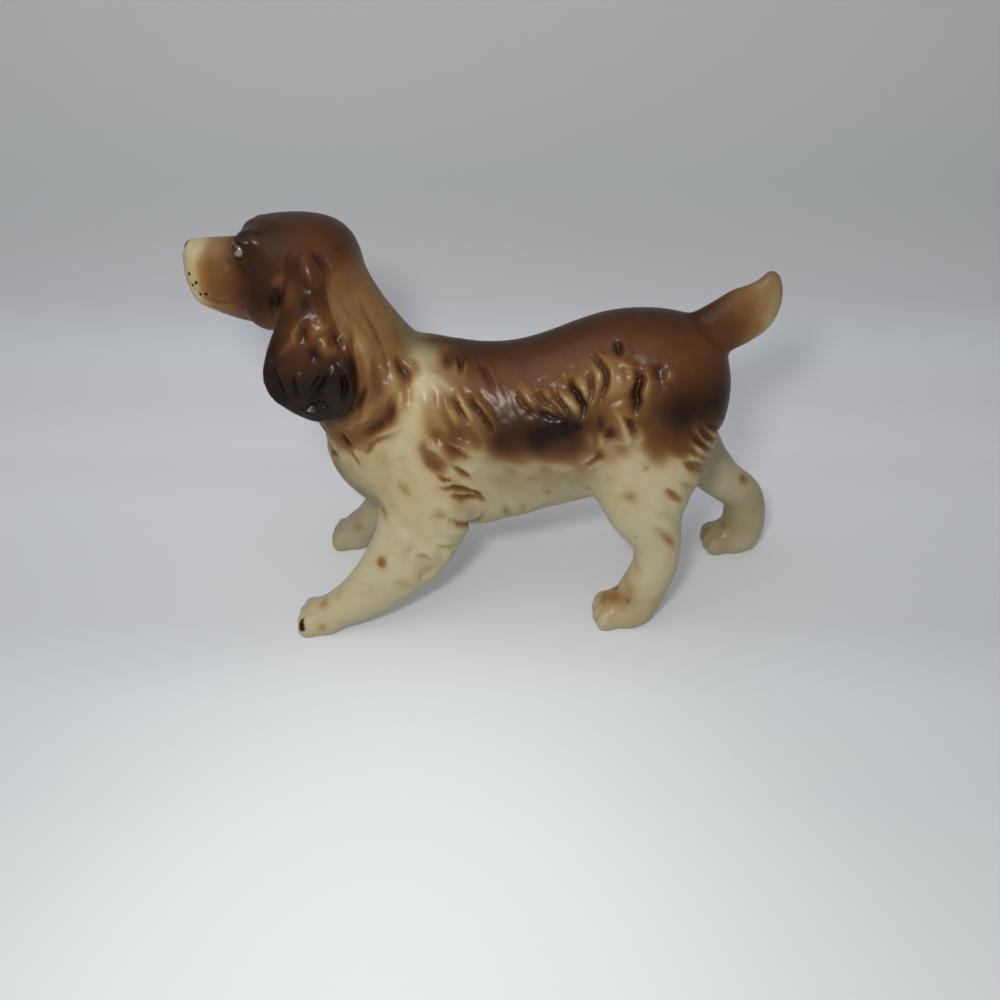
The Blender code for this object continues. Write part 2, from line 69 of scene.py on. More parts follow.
# %% [markdown]
# Every rounded form of the dog is a closed skin over a row of rings, like the loops of a basket.
# A few sections are given, in millimetres, and a smooth curve through them gives as many rings as are
# wanted. The rings are worked out as one array, so that a finer skin costs no more lines.
# The tables keep the place in which the dog was drawn: X = 0 is the middle of its back, -X is its face,
# -Y its left side. At the end everything moves by a few millimetres to stand where the model stands.


# %% Skins over rings
def eased(value, low, high):
    """0 below low, 1 above high, and a smooth S between them."""
    t = np.clip((value - low) / (high - low), 0, 1)
    return t * t * (3 - 2 * t)


def curve_through(rows, count):
    """Rows along a smooth curve through the given rows: Catmull-Rom, a cubic between each two rows whose
    slope at a row is half the step from the row before to the row after."""
    rows = np.array(rows, float)
    ends = np.concatenate([[2 * rows[0] - rows[1]], rows, [2 * rows[-1] - rows[-2]]])
    at = np.linspace(0, len(rows) - 1, count)
    k = np.minimum(at.astype(int), len(rows) - 2)
    t = (at - k)[:, None]
    a, b, c, d = (ends[k + i] for i in range(4))
    return 0.5 * (2 * b + (c - a) * t + (2 * a - 5 * b + 4 * c - d) * t**2 + (3 * b - a - 3 * c + d) * t**3)


def over_rings(rings):
    """Points and faces of a closed skin: four-sided faces between the rings, and a fan of triangles from the
    middle of the first and last ring. The faces are turned over if the volume they enclose is negative."""
    count, around = rings.shape[:2]
    i, j = np.meshgrid(np.arange(count - 1), np.arange(around), indexing="ij")
    k = (j + 1) % around
    corners = (i * around + j, i * around + k, (i + 1) * around + k, (i + 1) * around + j)
    quads = np.stack(corners, -1).reshape(-1, 4)
    j, k = j[0], k[0]
    first, last = count * around, count * around + 1
    start = np.stack([np.full(around, first), k, j], -1)
    end = np.stack([np.full(around, last), first - around + j, first - around + k], -1)
    fans = np.concatenate([start, end])
    points = np.concatenate([rings.reshape(-1, 3), [rings[0].mean(0)], [rings[-1].mean(0)]])
    a, b, c = points[quads[:, :3]].transpose(1, 0, 2) - points.mean(0)
    if (a * np.cross(b, c)).sum() < 0:
        quads, fans = quads[:, ::-1], fans[:, ::-1]
    return points, quads, fans


def limb(sections, along=70, around=56):
    """Rings square to a path. Sections: x, y, z of the centre, half depth, half width."""
    rows = curve_through(sections, along)
    centre, depth, width = rows[:, :3], rows[:, 3:4], rows[:, 4:5]
    way = np.gradient(centre, axis=0)
    way /= np.linalg.norm(way, axis=1, keepdims=True)
    side = np.array([0.0, 1.0, 0.0]) - way * way[:, 1:2]
    side /= np.linalg.norm(side, axis=1, keepdims=True)
    front = np.cross(way, side)
    turn = np.linspace(0, 2 * np.pi, around, endpoint=False)[:, None, None]
    rings = centre + side * width * np.cos(turn) + front * depth * np.sin(turn)
    return over_rings(rings.transpose(1, 0, 2))


def barrel(sections, along=110, around=80):
    """Upright oval rings. Sections: x, height of the top, height of the underside, half width."""
    x, top, bottom, width = curve_through(sections, along).T[:, None]
    turn = np.linspace(0, 2 * np.pi, around, endpoint=False)[:, None]
    z = (top + bottom) / 2 + (top - bottom) / 2 * np.sin(turn)
    rings = np.stack([x + 0 * turn, width * np.cos(turn), z], -1)
    return over_rings(rings.transpose(1, 0, 2))


def lobe(centre, size, heading=0.0, around=40):
    """An ellipsoid of full size (length, width, height), turned about Z by the heading in degrees."""
    rise = np.linspace(-np.pi / 2, np.pi / 2, around // 2 + 3)[1:-1, None]
    turn = np.linspace(0, 2 * np.pi, around, endpoint=False)
    ball = np.stack([np.cos(rise) * np.cos(turn), np.cos(rise) * np.sin(turn), np.sin(rise) + 0 * turn], -1)
    c, s = np.cos(np.radians(heading)), np.sin(np.radians(heading))
    swing = np.array([[c, s, 0], [-s, c, 0], [0, 0, 1]])
    return over_rings((ball * np.array(size) / 2) @ swing + np.array(centre))


def on_both_sides(centre, size):
    """A lobe to the left and one to the right of the middle."""
    x, y, z = centre
    return [lobe((x, side * y, z), size) for side in (-1, 1)]


# %% [markdown]
# The trunk is a barrel on its side: deep at the chest, hollow behind the shoulders, high over the hips.
# The neck is a limb that comes down from the skull and widens into the chest.

# %% Trunk, neck and tail
TRUNK = (
    (-43.2, 55, 46, 4),
    (-40.4, 62, 39.5, 9.4),
    (-35, 70, 33, 13.8),
    (-28, 76, 28.5, 16.4),
    (-18, 79.2, 25.5, 18),
    (-8, 77.8, 24, 18.4),
    (0, 76.8, 24.5, 18.4),
    (8, 77.3, 26.5, 18.2),
    (16, 79.6, 29, 18),
    (24, 82.8, 31.5, 18.2),
    (32, 85.2, 34, 18.8),
    (40, 85.9, 37.5, 18.8),
    (47, 85.4, 42, 18),
    (53.5, 83.8, 47, 16),
    (58.5, 80.5, 51, 13),
    (61.8, 75.5, 55, 9.2),
    (63.8, 69.5, 60, 4.2),
)
NECK = (
    (-42, 0, 95, 12.6, 12),
    (-38.4, 0, 85, 13.6, 12.6),
    (-34, 0, 75, 15.8, 13.6),
    (-29, 0, 65, 18.4, 15),
    (-23, 0, 54, 18, 15.5),
)
TAIL = (
    (50, 0, 76, 7, 6),
    (57, 0, 80, 6.8, 5.2),
    (62.8, 0, 83.3, 7.4, 4.2),
    (67.2, 0, 86.8, 7.2, 3.2),
    (69.8, 0, 91.2, 4.6, 2.5),
    (70.6, 0, 96, 1.4, 1.5),
)
forms = [barrel(TRUNK), limb(NECK), limb(TAIL)]
print("trunk, neck and tail:", [len(points) for points, _, _ in forms], "points")

# %% [markdown]
# The head is a short round skull with a square muzzle set low on it, so that the forehead drops steeply
# to the eyes. Lobes on both sides give the hanging lips, the cheeks and the brows.

# %% Head
SKULL = (
    (-57.6, 105.4, 95, 5),
    (-56.4, 107.4, 90, 8.8),
    (-52.8, 108.8, 85.5, 11.8),
    (-48, 109.4, 83.5, 13.5),
    (-42, 109.4, 83.5, 14),
    (-36.8, 108.4, 84.5, 13.2),
    (-33, 106, 87, 11.2),
    (-30.6, 101.8, 90, 7.6),
    (-29.6, 98, 93, 3.5),
)
MUZZLE = (
    (-48, 105, 83, 10.5),
    (-54, 104.4, 82.8, 9.6),
    (-60, 104, 83.8, 8.4),
    (-66, 103.8, 86, 7.6),
    (-69.6, 103.4, 88.5, 6.6),
    (-71.8, 101.2, 91.5, 4.2),
)
NOSE = (-70.4, 0.0, 101.4)
NOSE_SIZE = (3.4, 6.4, 4.4)
FLEW = (-63.4, 4.4, 92.2)
FLEW_SIZE = (15.0, 7.4, 9.6)
CHEEK = (-50.5, 8.0, 91.0)
CHEEK_SIZE = (15.0, 10.0, 15.0)
BROW = (-53.5, 7.0, 105.2)
BROW_SIZE = (8.0, 7.0, 5.0)
forms += [barrel(SKULL), barrel(MUZZLE), lobe(NOSE, NOSE_SIZE)]
forms += on_both_sides(FLEW, FLEW_SIZE) + on_both_sides(CHEEK, CHEEK_SIZE) + on_both_sides(BROW, BROW_SIZE)
print(len(forms), "forms with the head")

# %% [markdown]
# The ears hang in front of the neck as thick flaps, narrow at the hinge and wide and rolled at the tips.
# Each is a closed surface of two parameters: u runs from the front edge to the rear edge, and v from the
# hinge down to the tips. The flap is thick in the middle and rounded at both edges, and near the hinge it
# reaches into the skull, so that the pressing melts the two into one, as the potter's thumb did.

# %% Ear flaps
EAR = (
    (-43, -38.5, 9.6, 105.6),
    (-44.4, -36.2, 12.8, 102.8),
    (-44.8, -35.2, 14.2, 99.4),
    (-45.5, -34, 15.2, 95),
    (-48, -32.5, 16.4, 89),
    (-51.5, -31, 17.4, 82),
    (-52.8, -30.2, 18, 76),
    (-51.6, -30.6, 18.2, 71),
    (-47.6, -33, 18, 66.4),
    (-43, -37.5, 17.6, 63.8),
)
EAR_THICKNESS = 6.0
EAR_ROOT_DEPTH = 7.0
HINGE_FEATHER = 0.9
REAR_DIVE = 5.0


def ear_flap(side, across=60, down=90):
    """Rings across the ear: along its outer face at y = middle + thickness / 2 * rim and back along its
    inner face, where rim = (1 - u^2) to a power: one half rounds the edges, and more, near the hinge,
    feathers them out. There the rear edge also dives into the neck. The root depth fades out towards the
    tips."""
    front, rear, middle, level = curve_through(EAR, down).T[:, :, None]
    u = np.sin(np.linspace(-np.pi / 2, np.pi / 2, across))
    v = np.linspace(0, 1, down)[:, None]
    x = (front + rear) / 2 + (rear - front) / 2 * u
    rim = (1 - 0.98 * u**2) ** (0.5 + HINGE_FEATHER * eased(level, 84.0, 98.0))
    close = np.sin(np.pi * v.clip(0.02, 0.98)) ** 0.35
    dive = REAR_DIVE * eased(u, 0.3, 1.0) * eased(level, 76.0, 92.0)
    outer = side * (middle - dive + EAR_THICKNESS / 2 * rim * close)
    inner = side * (middle - dive - (EAR_THICKNESS / 2 + EAR_ROOT_DEPTH * (1 - v)) * rim * close)
    z = level + 0 * u
    rings = np.concatenate([np.stack([x, outer, z], -1), np.stack([x, inner, z], -1)[:, ::-1]], 1)
    return over_rings(rings)


forms += [ear_flap(-1), ear_flap(1)]
print("each ear:", len(forms[-1][0]), "points")

# %% [markdown]
# Each leg runs from a muscle inside the body down into a paw: a round pad with four toes in a fan. The
# dog is in mid stride, so the four legs all lean another way and each has its own row of sections. The
# lower half of each paw reaches below the floor, where the sole is pressed flat later.

# %% Legs and paws
LEGS = {
    "left_foreleg": (
        (-17, -10.5, 52, 12, 8),
        (-16, -13, 39, 13, 8.2),
        (-18.8, -15.5, 27.4, 11.8, 7.4),
        (-26.4, -18, 17.4, 9.4, 6.5),
        (-34.6, -19.6, 10, 7.2, 6),
        (-42, -20.2, 5.6, 5.4, 5.8),
        (-46.5, -20.4, 2.6, 4.8, 5.8),
    ),
    "right_foreleg": (
        (-19, 10.5, 52, 12, 8),
        (-20, 13, 39, 11.5, 8),
        (-25, 15.5, 27, 8.8, 7),
        (-31.5, 18, 17, 6.8, 6.2),
        (-37.5, 19.6, 9.5, 5.6, 5.8),
        (-42, 20, 6, 5, 5.6),
        (-45.5, 20.2, 2.6, 4.6, 5.6),
    ),
    "left_hind_leg": (
        (42, -9.5, 60, 17, 9),
        (41.2, -12, 47, 15, 8.8),
        (42.8, -14.5, 36, 10.6, 7.4),
        (46.6, -16.4, 26.5, 6.8, 6),
        (46.6, -17.3, 18, 6.2, 5.6),
        (43.4, -17.5, 9, 6.6, 5.8),
        (41.4, -17.6, 2, 5.8, 5.8),
    ),
    "right_hind_leg": (
        (45, 9.5, 60, 16.5, 9),
        (52.5, 12, 49.5, 13.5, 8.4),
        (61.5, 14.4, 37.5, 9, 7),
        (71.6, 16.6, 26.8, 6.5, 6.2),
        (79.8, 17.7, 19.5, 6.2, 5.7),
        (81.8, 18, 9, 6.8, 5.9),
        (80.6, 18, 2, 6.4, 5.9),
    ),
}
FORE_PAW = (17.0, 12.6, 8.8)
HIND_PAW = (20.0, 12.6, 10.5)
PAWS = {
    "left_foreleg": ((-45.6, -20.4), FORE_PAW),
    "right_foreleg": ((-43, 20.2), FORE_PAW),
    "left_hind_leg": ((39.8, -17.6), HIND_PAW),
    "right_hind_leg": ((78.8, 18), HIND_PAW),
}
PAD_RISE = 0.38
PAD_LENGTH = 0.76
TOES = 4
TOE_SPREAD = 80.0
TOE_SIZE = (8.6, 4.4, 6.6)
TOE_ARC = 0.8
# rise above a leg's top section, in half depths of it, and size as a share of it
MUSCLE = ((0.75, 0.5), (0.4, 0.9))


def muscled(sections):
    """The leg's sections with two more above them, for the rounded muscle inside the body."""
    x, y, z, depth, width = sections[0]
    above = [(x, y, z + rise * depth, share * depth, share * width) for rise, share in MUSCLE]
    return (*above, *sections)


def toe_places(paw):
    """Heading in degrees, and x, y of the middle, of each toe of a paw, in a fan about the pad."""
    (x, y), (length, width, _) = PAWS[paw]
    toe_length, toe_width, _ = TOE_SIZE
    turn = np.radians(np.linspace(-TOE_SPREAD / 2, TOE_SPREAD / 2, TOES))
    aside = (width - toe_width) / 2 * np.sin(turn) / np.sin(np.radians(TOE_SPREAD / 2))
    ahead = (length - toe_length) / 2 * np.cos(TOE_ARC * turn)
    return np.stack([-np.degrees(turn) / 2, x - ahead, y + aside], -1)


for name, sections in LEGS.items():
    (x, y), (length, width, height) = PAWS[name]
    forms.append(limb(muscled(sections)))
    forms.append(lobe((x, y, PAD_RISE * height), (PAD_LENGTH * length, width, 2 * (1 - PAD_RISE) * height)))
    toe_length, toe_width, toe_height = TOE_SIZE
    for heading, toe_x, toe_y in toe_places(name):
        size = (toe_length, toe_width, 2 * (1 - PAD_RISE) * toe_height)
        forms.append(lobe((toe_x, toe_y, PAD_RISE * toe_height), size, heading))
print(len(forms), "forms make up the body")

# %% [markdown]
# On the real dog nothing shows where one form meets the next: the wet clay was pressed together and
# sponged. A voxel remesh does the pressing. It lays one even net over everything that the forms fill, and
# the sponge is an average: each point moves towards the middle of its neighbours, over and over. The body
# gets more rounds than the paws, because a soft shoulder is wanted, and crisp toes.

# %% Press the forms into one skin
GRAIN = 0.44


def mesh_object(name, points, *groups):
    """An object whose mesh has these points and groups of faces."""
    mesh = bpy.data.meshes.new(name)
    mesh.from_pydata(points.tolist(), [], [face for faces in groups for face in faces.tolist()])
    obj = bpy.data.objects.new(name, mesh)
    bpy.context.scene.collection.objects.link(obj)
    return obj


def pressed(shapes, grain):
    """Points and four-sided faces of one even net around all the shapes."""
    starts = np.cumsum([0] + [len(points) for points, _, _ in shapes])
    points = np.concatenate([shape[0] for shape in shapes])
    quads = np.concatenate([shape[1] + start for shape, start in zip(shapes, starts)])
    fans = np.concatenate([shape[2] + start for shape, start in zip(shapes, starts)])
    lump = mesh_object("lump", points, quads, fans)
    remesh = lump.modifiers.new("press", "REMESH")
    remesh.mode = "VOXEL"
    remesh.voxel_size = grain
    mesh = lump.evaluated_get(bpy.context.evaluated_depsgraph_get()).to_mesh()
    found = np.empty(len(mesh.vertices) * 3)
    mesh.vertices.foreach_get("co", found)
    corners = np.empty(len(mesh.loops), int)
    mesh.loops.foreach_get("vertex_index", corners)
    bpy.data.objects.remove(lump)
    return found.reshape(-1, 3), corners.reshape(-1, 4)


skin, net = pressed(forms, GRAIN)
print("pressed skin:", len(skin), "points,", len(net), "faces")

# %% The sponge
PAW_ROUNDS = 30
BODY_ROUNDS = 12
PAW_TOP = 26.0
LEG_TOP = 40.0


def sponged(points, faces, rounds, share=1.0):
    """Each round moves every point half way to the mean of its neighbours, times its share."""
    ends = np.stack([faces, np.roll(faces, -1, 1)], -1).reshape(-1, 2)
    a, b = np.concatenate([ends, ends[:, ::-1]]).T
    count = np.bincount(a, minlength=len(points))[:, None]
    for _ in range(rounds):
        total = np.stack([np.bincount(a, row, len(points)) for row in points[b].T], -1)
        points = points + (total / count - points) * 0.5 * share
    return points


def normals_of(points, *groups):
    """Unit normals of the points: the sum of the crossed diagonals of the faces around each."""
    total = np.zeros_like(points)
    for faces in groups:
        first, second = points[faces[:, 2]] - points[faces[:, 0]], points[faces[:, -1]] - points[faces[:, 1]]
        crossed = np.repeat(np.cross(first, second), faces.shape[1], 0)
        total += np.stack([np.bincount(faces.ravel(), crossed[:, k], len(points)) for k in range(3)], -1)
    return total / np.maximum(np.linalg.norm(total, axis=1, keepdims=True), 1e-9)


skin = sponged(skin, net, PAW_ROUNDS)
skin = sponged(skin, net, BODY_ROUNDS, eased(skin[:, 2:], PAW_TOP, LEG_TOP))
smooth_normals = normals_of(skin, net)
print("sponged skin, mm:", np.round(skin.max(0) - skin.min(0), 1))

# %% [markdown]
# The coat is modelled with a wire tool: each stroke digs a groove along a lock of hair and pushes up a
# soft lip beside it. The left side is traced from a picture of the real one, as rows of pixels in a square
# of 1000: the camera's ray through a pixel ends on the skin, and the same stroke is made on the right side.
# Where the picture doesn't reach, a stroke is drawn in a flat view. The depth falls off as a bell curve
# across the stroke, and to nothing at its two ends. All strokes add up in one array, the relief, which then
# moves the skin along its normals, and a second one, the tint, keeps where brown slip was brushed into a
# groove. The tool looks for the points near a stroke many hundred times, so it keeps them in the order of
# their x, takes the slice that the stroke spans, and tests only y and z there.


# %% Modelling tool
PICTURE = 1000
# how far around a stroke a flat view and the picture are searched, in millimetres and in pixels
VIEW_MARGIN, PIXEL_MARGIN = 4, 5
# least share of its normal that a point turns to the flat view or to the camera to be seen
FACES_VIEW, FACES_CAMERA = 0.12, 0.05
OUTER_FIRST = 0.05
# reach of a stroke, and place of its lip, in half widths; height of the lip on the far side
STROKE_REACH, LIP_PLACE, FAR_LIP = 5, 1.7, 0.4
TAPER = 0.7
TINT_SPREAD = 1.25
shift = -(skin.min(0) + skin.max(0)) / 2 * (1, 1, 0)
print("move onto the frame, mm:", np.round(shift, 2))


def in_picture(points):
    """Pixel across and down, and distance from the camera, of points in the tables' millimetres."""
    away = points + shift - CAMERA_PLACE
    down = np.radians(CAMERA_DOWN)
    ahead = away @ (0, np.cos(down), -np.sin(down))
    up = away @ (0, np.sin(down), np.cos(down))
    scale = LENS / SENSOR * PICTURE
    return np.stack([PICTURE / 2 + away[:, 0] / ahead * scale, PICTURE / 2 - up / ahead * scale], -1), ahead


class Clay:
    """A skin that strokes are added to: points, normals, and the relief in millimetres."""

    def __init__(self, points, normals):
        self.points = points
        self.normals = normals
        self.relief = np.zeros(len(points))
        self.tint = np.zeros(len(points))
        self.wiped = np.zeros(len(points))
        self.order = points[:, 0].argsort()
        self.sorted_x = points[self.order, 0]
        pixels, ahead = in_picture(points)
        to_camera = CAMERA_PLACE - points - shift
        facing = (normals * to_camera).sum(1) > FACES_CAMERA * np.linalg.norm(to_camera, axis=1)
        self.seen_points = points[facing]
        self.seen_pixels = pixels[facing]
        self.seen_ahead = ahead[facing]

    def near(self, low, high):
        """Numbers of the points in a box."""
        start, end = np.searchsorted(self.sorted_x, (low[0], high[0]))
        rows = self.order[start:end]
        found = self.points[rows, 1:]
        return rows[((found > low[1:]) & (found < high[1:])).all(1)]

    def landed(self, flat, axis=1, side=-1):
        """Sets points of a flat view on the skin. The view looks along the axis at the skin that faces the
        side, and each point goes to the nearest vertex, where the outermost one wins."""
        flat = np.asarray(flat, float)
        keep = [k for k in range(3) if k != axis]
        low, high = np.full(3, -999.0), np.full(3, 999.0)
        low[keep] = flat.min(0) - VIEW_MARGIN
        high[keep] = flat.max(0) + VIEW_MARGIN
        rows = self.near(low, high)
        seen = self.points[rows[self.normals[rows, axis] * side > FACES_VIEW]]
        away = ((seen[None, :, keep] - flat[:, None]) ** 2).sum(-1)
        return seen[(away - OUTER_FIRST * side * seen[:, axis]).argmin(1)]

    def seen(self, pixels):
        """Sets pixels on the skin: each goes to the vertex that is nearest in the picture, in pixels
        squared, plus its distance from the camera in millimetres, so that the front one wins."""
        pixels = np.asarray(pixels, float)
        low, high = pixels.min(0) - PIXEL_MARGIN, pixels.max(0) + PIXEL_MARGIN
        window = ((self.seen_pixels > low) & (self.seen_pixels < high)).all(1)
        away = ((self.seen_pixels[window] - pixels[:, None]) ** 2).sum(-1) + self.seen_ahead[window]
        return self.seen_points[window][away.argmin(1)]

    def stroke(self, path, width, depth, lip=0.5, tint=0.0):
        """Digs a groove along a path on the skin. The skin rises steeply on its left and falls off gently
        there, and it sinks a little on its right, so that one lock seems to lie over the next. A negative
        depth raises a lock, and a negative tint wipes the spray off it."""
        near = self.near(path.min(0) - STROKE_REACH * width - 1, path.max(0) + STROKE_REACH * width + 1)
        step = path[1:] - path[:-1]
        away = self.points[near][:, None] - path[:-1]
        share = np.clip((away * step).sum(-1) / np.maximum((step**2).sum(-1), 1e-9), 0, 1)
        gap = away - share[..., None] * step
        distance = np.sqrt((gap**2).sum(-1))
        k = distance.argmin(1)
        row = np.arange(len(near))
        along = (k + share[row, k]) / len(step)
        taper = np.sin(np.pi * along.clip(0.01, 0.99)) ** TAPER
        beside = np.sign((np.cross(step[k], gap[row, k]) * self.normals[near]).sum(-1))
        d = distance[row, k] / (width * (0.5 + 0.5 * taper))
        side = beside * d / LIP_PLACE
        lock = side * np.exp(0.5 * (1 - side**2)) * np.where(side > 0, 1.0, FAR_LIP)
        self.relief[near] += depth * taper * (lip * lock - np.exp(-(d**2)))
        cover = np.abs(tint) * taper * np.exp(-((d / TINT_SPREAD) ** 2))
        if tint > 0:
            self.tint[near] = 1 - (1 - self.tint[near]) * (1 - cover)
        elif tint < 0:
            self.wiped[near] = np.maximum(self.wiped[near], cover)

    def draw(self, strokes, axis=1, side=-1, mirrored=True, drift=0.0, lip=0.5):
        """Strokes of a flat view, each a width, a depth and its points. A side view's strokes are also
        made on the other side, moved along X by the drift."""
        for width, depth, *places in strokes:
            flat = curve_through(places, 5 * len(places))
            self.stroke(self.landed(flat, axis, side), width, depth, lip)
            if mirrored:
                self.stroke(self.landed(flat + [drift, 0], axis, -side), width, depth, lip)

    def trace(self, strokes, drift=0.0, lip=0.5, mirrored=True):
        """Strokes of the picture, each a width, a depth, a tint and its pixels, here and on the right."""
        for width, depth, tint, *pixels in strokes:
            path = self.seen(curve_through(pixels, 5 * len(pixels)))
            self.stroke(path, width, depth, lip, tint)
            if mirrored:
                self.stroke(self.landed(path[:, [0, 2]] + [drift, 0], side=1), width, depth, lip, tint)


clay = Clay(skin, smooth_normals)

# %% [markdown]
# The deepest strokes are the ones that show from across a room, so they are traced one by one: the locks
# behind the shoulder and the tuft of the elbow, the locks of the flank and the whorl over the hip, the
# feathers at the back of the thigh, and the mane. Each row gives the width of the groove, its depth, its
# tint, and some pixels on the way.

# %% Deep locks of the shoulder
SHOULDER_LOCKS = (
    (0.6, 0.9, 0.9, (457, 354), (460, 360), (461, 367), (460, 374)),
    (0.6, 0.5, 0.6, (466, 353), (468, 358), (470, 364)),
    (1.1, 0.5, 0.5, (446, 352), (449, 360), (449, 369)),
    (0.6, 0.7, 0.6, (478, 357), (483, 367), (488, 378), (494, 391)),
    (0.6, 1.3, 1, (452, 391), (455, 402), (461, 412), (468, 424)),
    (0.6, 1.4, 1, (469, 393), (475, 406), (484, 417), (490, 427), (493, 434)),
    (0.8, 0.8, 0.7, (444, 402), (446, 416), (451, 427), (460, 436)),
    (1.3, 0.8, 0.8, (451, 428), (458, 437), (468, 443)),
    (1.3, 0.5, 0.8, (434, 428), (438, 436), (441, 443)),
    (0.55, 0.6, 0.7, (445, 443), (453, 451), (462, 456), (472, 459)),
    (1.3, 0.9, 0.8, (423, 436), (425, 451), (431, 464), (439, 471), (448, 475)),
    (1.2, 0.8, 0.8, (431, 450), (438, 461), (446, 471)),
    (0.6, 0.9, 0.8, (450, 465), (459, 471), (466, 476), (473, 484)),
    (0.5, 0.8, 1, (436, 476), (444, 480), (452, 482)),
    (1.1, -0.5, -0.3, (453, 356), (456, 364), (457, 376)),
    (0.9, -0.5, -0.3, (464, 358), (466, 366), (465, 378)),
    (0.9, -0.8, -0.8, (447, 387), (446, 403), (451, 416), (459, 424), (469, 427)),
    (0.9, -0.6, -0.3, (457, 386), (462, 403), (469, 415), (476, 424)),
    (0.9, -0.6, -0.4, (473, 392), (482, 408), (492, 423), (497, 434)),
    (1.3, -0.9, -1, (443, 436), (450, 444), (461, 448), (471, 452), (477, 458)),
    (1.5, -0.8, -1, (430, 440), (439, 450), (449, 458), (461, 465)),
    (0.9, -0.6, -0.8, (456, 458), (467, 468), (475, 481)),
    (1.2, -0.6, -0.8, (442, 474), (457, 478), (470, 485), (480, 493)),
)
clay.trace(SHOULDER_LOCKS, drift=0.8, lip=0.35)
ELBOW_TUFT = (
    (0.7, 1.3, 1, (442, 490), (457, 488), (470, 491), (480, 497), (485, 508)),
    (0.6, 0.9, 1, (450, 495), (462, 498), (472, 498), (481, 502)),
    (0.8, 0.8, 0.6, (485, 509), (482, 517), (473, 524), (462, 525), (452, 521), (444, 517)),
    (1.4, 0.3, 0.3, (429, 516), (436, 518), (444, 519)),
    (0.5, 0.3, 0.3, (434, 487), (444, 489), (452, 490)),
    (2.6, -0.7, -0.6, (442, 506), (458, 508), (474, 511)),
    (0.8, -0.4, -0.4, (448, 492), (460, 492), (470, 494)),
    (0.7, 0.3, 0.2, (444, 537), (455, 540), (466, 536)),
    (0.8, -0.4, 0, (446, 531), (458, 533), (470, 530)),
    (0.6, 0.3, 0.2, (436, 546), (448, 549), (460, 546)),
    (0.9, -0.4, 0, (430, 541), (442, 543), (454, 544)),
)
clay.trace(ELBOW_TUFT, lip=0.35)
print(len(SHOULDER_LOCKS) + len(ELBOW_TUFT), "strokes at the shoulder and the elbow")

# %% [markdown]
# On the flank the locks sweep down and back, and over the hip they turn in a whorl, as a spaniel's hair
# does. The eye follows the dark grooves between golden locks, so most grooves lie beside a raised lock whose
# colour is wiped off, with a negative depth and tint in the table.

# %% Locks of the flank and whorl of the hip
FLANK_LOCKS = (
    (0.65, 1, 0.8, (517, 392), (523, 403), (531, 411), (538, 417)),
    (0.6, 0.9, 0.7, (538, 390), (540, 397), (546, 404), (552, 407)),
    (0.65, 0.9, 0.7, (535, 404), (543, 412), (552, 417), (562, 420)),
    (0.55, 0.9, 0.8, (555, 390), (559, 399), (565, 408), (573, 417)),
    (0.55, 0.8, 0.7, (551, 404), (557, 411), (564, 418)),
    (0.7, 1.5, 1, (569, 372), (572, 385), (579, 396), (584, 406), (582, 418)),
    (0.65, 0.9, 0.8, (589, 370), (592, 382), (591, 395), (590, 406)),
    (0.65, 1.2, 1, (590, 353), (599, 362), (606, 373), (606, 386), (600, 404)),
    (0.9, 1, 0.9, (615, 340), (619, 348), (620, 358)),
    (0.9, 1.3, 0.9, (634, 368), (641, 379), (637, 391), (639, 402), (634, 417)),
    (1.6, 0.5, 0.5, (654, 364), (660, 372), (662, 384)),
    (0.7, 1.3, 1, (624, 415), (631, 425), (634, 438)),
    (1.3, 0.9, 1, (606, 428), (611, 434), (606, 442)),
    (0.6, 0.7, 0.8, (576, 420), (579, 426), (581, 432)),
    (0.7, 0.9, 0.8, (602, 457), (595, 462), (585, 467)),
    (0.8, 0.6, 0.6, (598, 450), (600, 457), (598, 462)),
    (0.9, 0.3, 0.3, (642, 462), (647, 468), (651, 474)),
    (0.6, 0.5, 0.5, (598, 412), (602, 424), (600, 436)),
    (0.5, 0.4, 0.4, (610, 412), (617, 422), (622, 434)),
    (1.7, -0.7, -0.6, (517, 380), (524, 391), (532, 403), (540, 414)),
    (0.9, -0.5, -0.8, (536, 396), (543, 404), (551, 410), (562, 415)),
    (1.3, -0.6, -0.4, (542, 386), (547, 395), (553, 402)),
    (0.7, -0.6, -0.9, (553, 400), (561, 409), (569, 417)),
    (1.3, -0.8, -0.9, (557, 388), (565, 399), (575, 407), (581, 415)),
    (1.2, -0.6, -0.4, (561, 370), (566, 376), (569, 384)),
    (1.3, -0.7, -0.7, (575, 373), (582, 385), (588, 394), (589, 408)),
    (1.6, -0.7, -0.7, (586, 359), (597, 370), (600, 383), (596, 400)),
    (2, -0.9, -0.7, (596, 350), (608, 363), (615, 375), (616, 388), (604, 402)),
    (1.1, -0.8, -0.8, (611, 350), (621, 362), (632, 370), (632, 384), (624, 396)),
    (0.9, -0.6, -0.6, (628, 398), (620, 405), (611, 409)),
    (1.4, -0.7, -0.6, (644, 368), (650, 380), (646, 393), (644, 404)),
    (1.6, -0.8, -1, (610, 407), (620, 420), (628, 434), (630, 448)),
    (1.2, -0.6, -0.8, (639, 424), (641, 436), (638, 448)),
    (1, -0.5, -0.6, (586, 430), (591, 440), (590, 450)),
    (0.7, -0.4, -0.6, (600, 430), (601, 440), (603, 450)),
    (1.2, -0.6, -0.5, (665, 384), (669, 376), (672, 368)),
)
clay.trace(FLANK_LOCKS, drift=-0.7, lip=0.3)
print(len(FLANK_LOCKS), "strokes on the flank and the hip")

# %% [markdown]
# Behind the thigh the long hair hangs in feathers. Their grooves are short and end at the edge of the leg,
# where each tip catches the light.

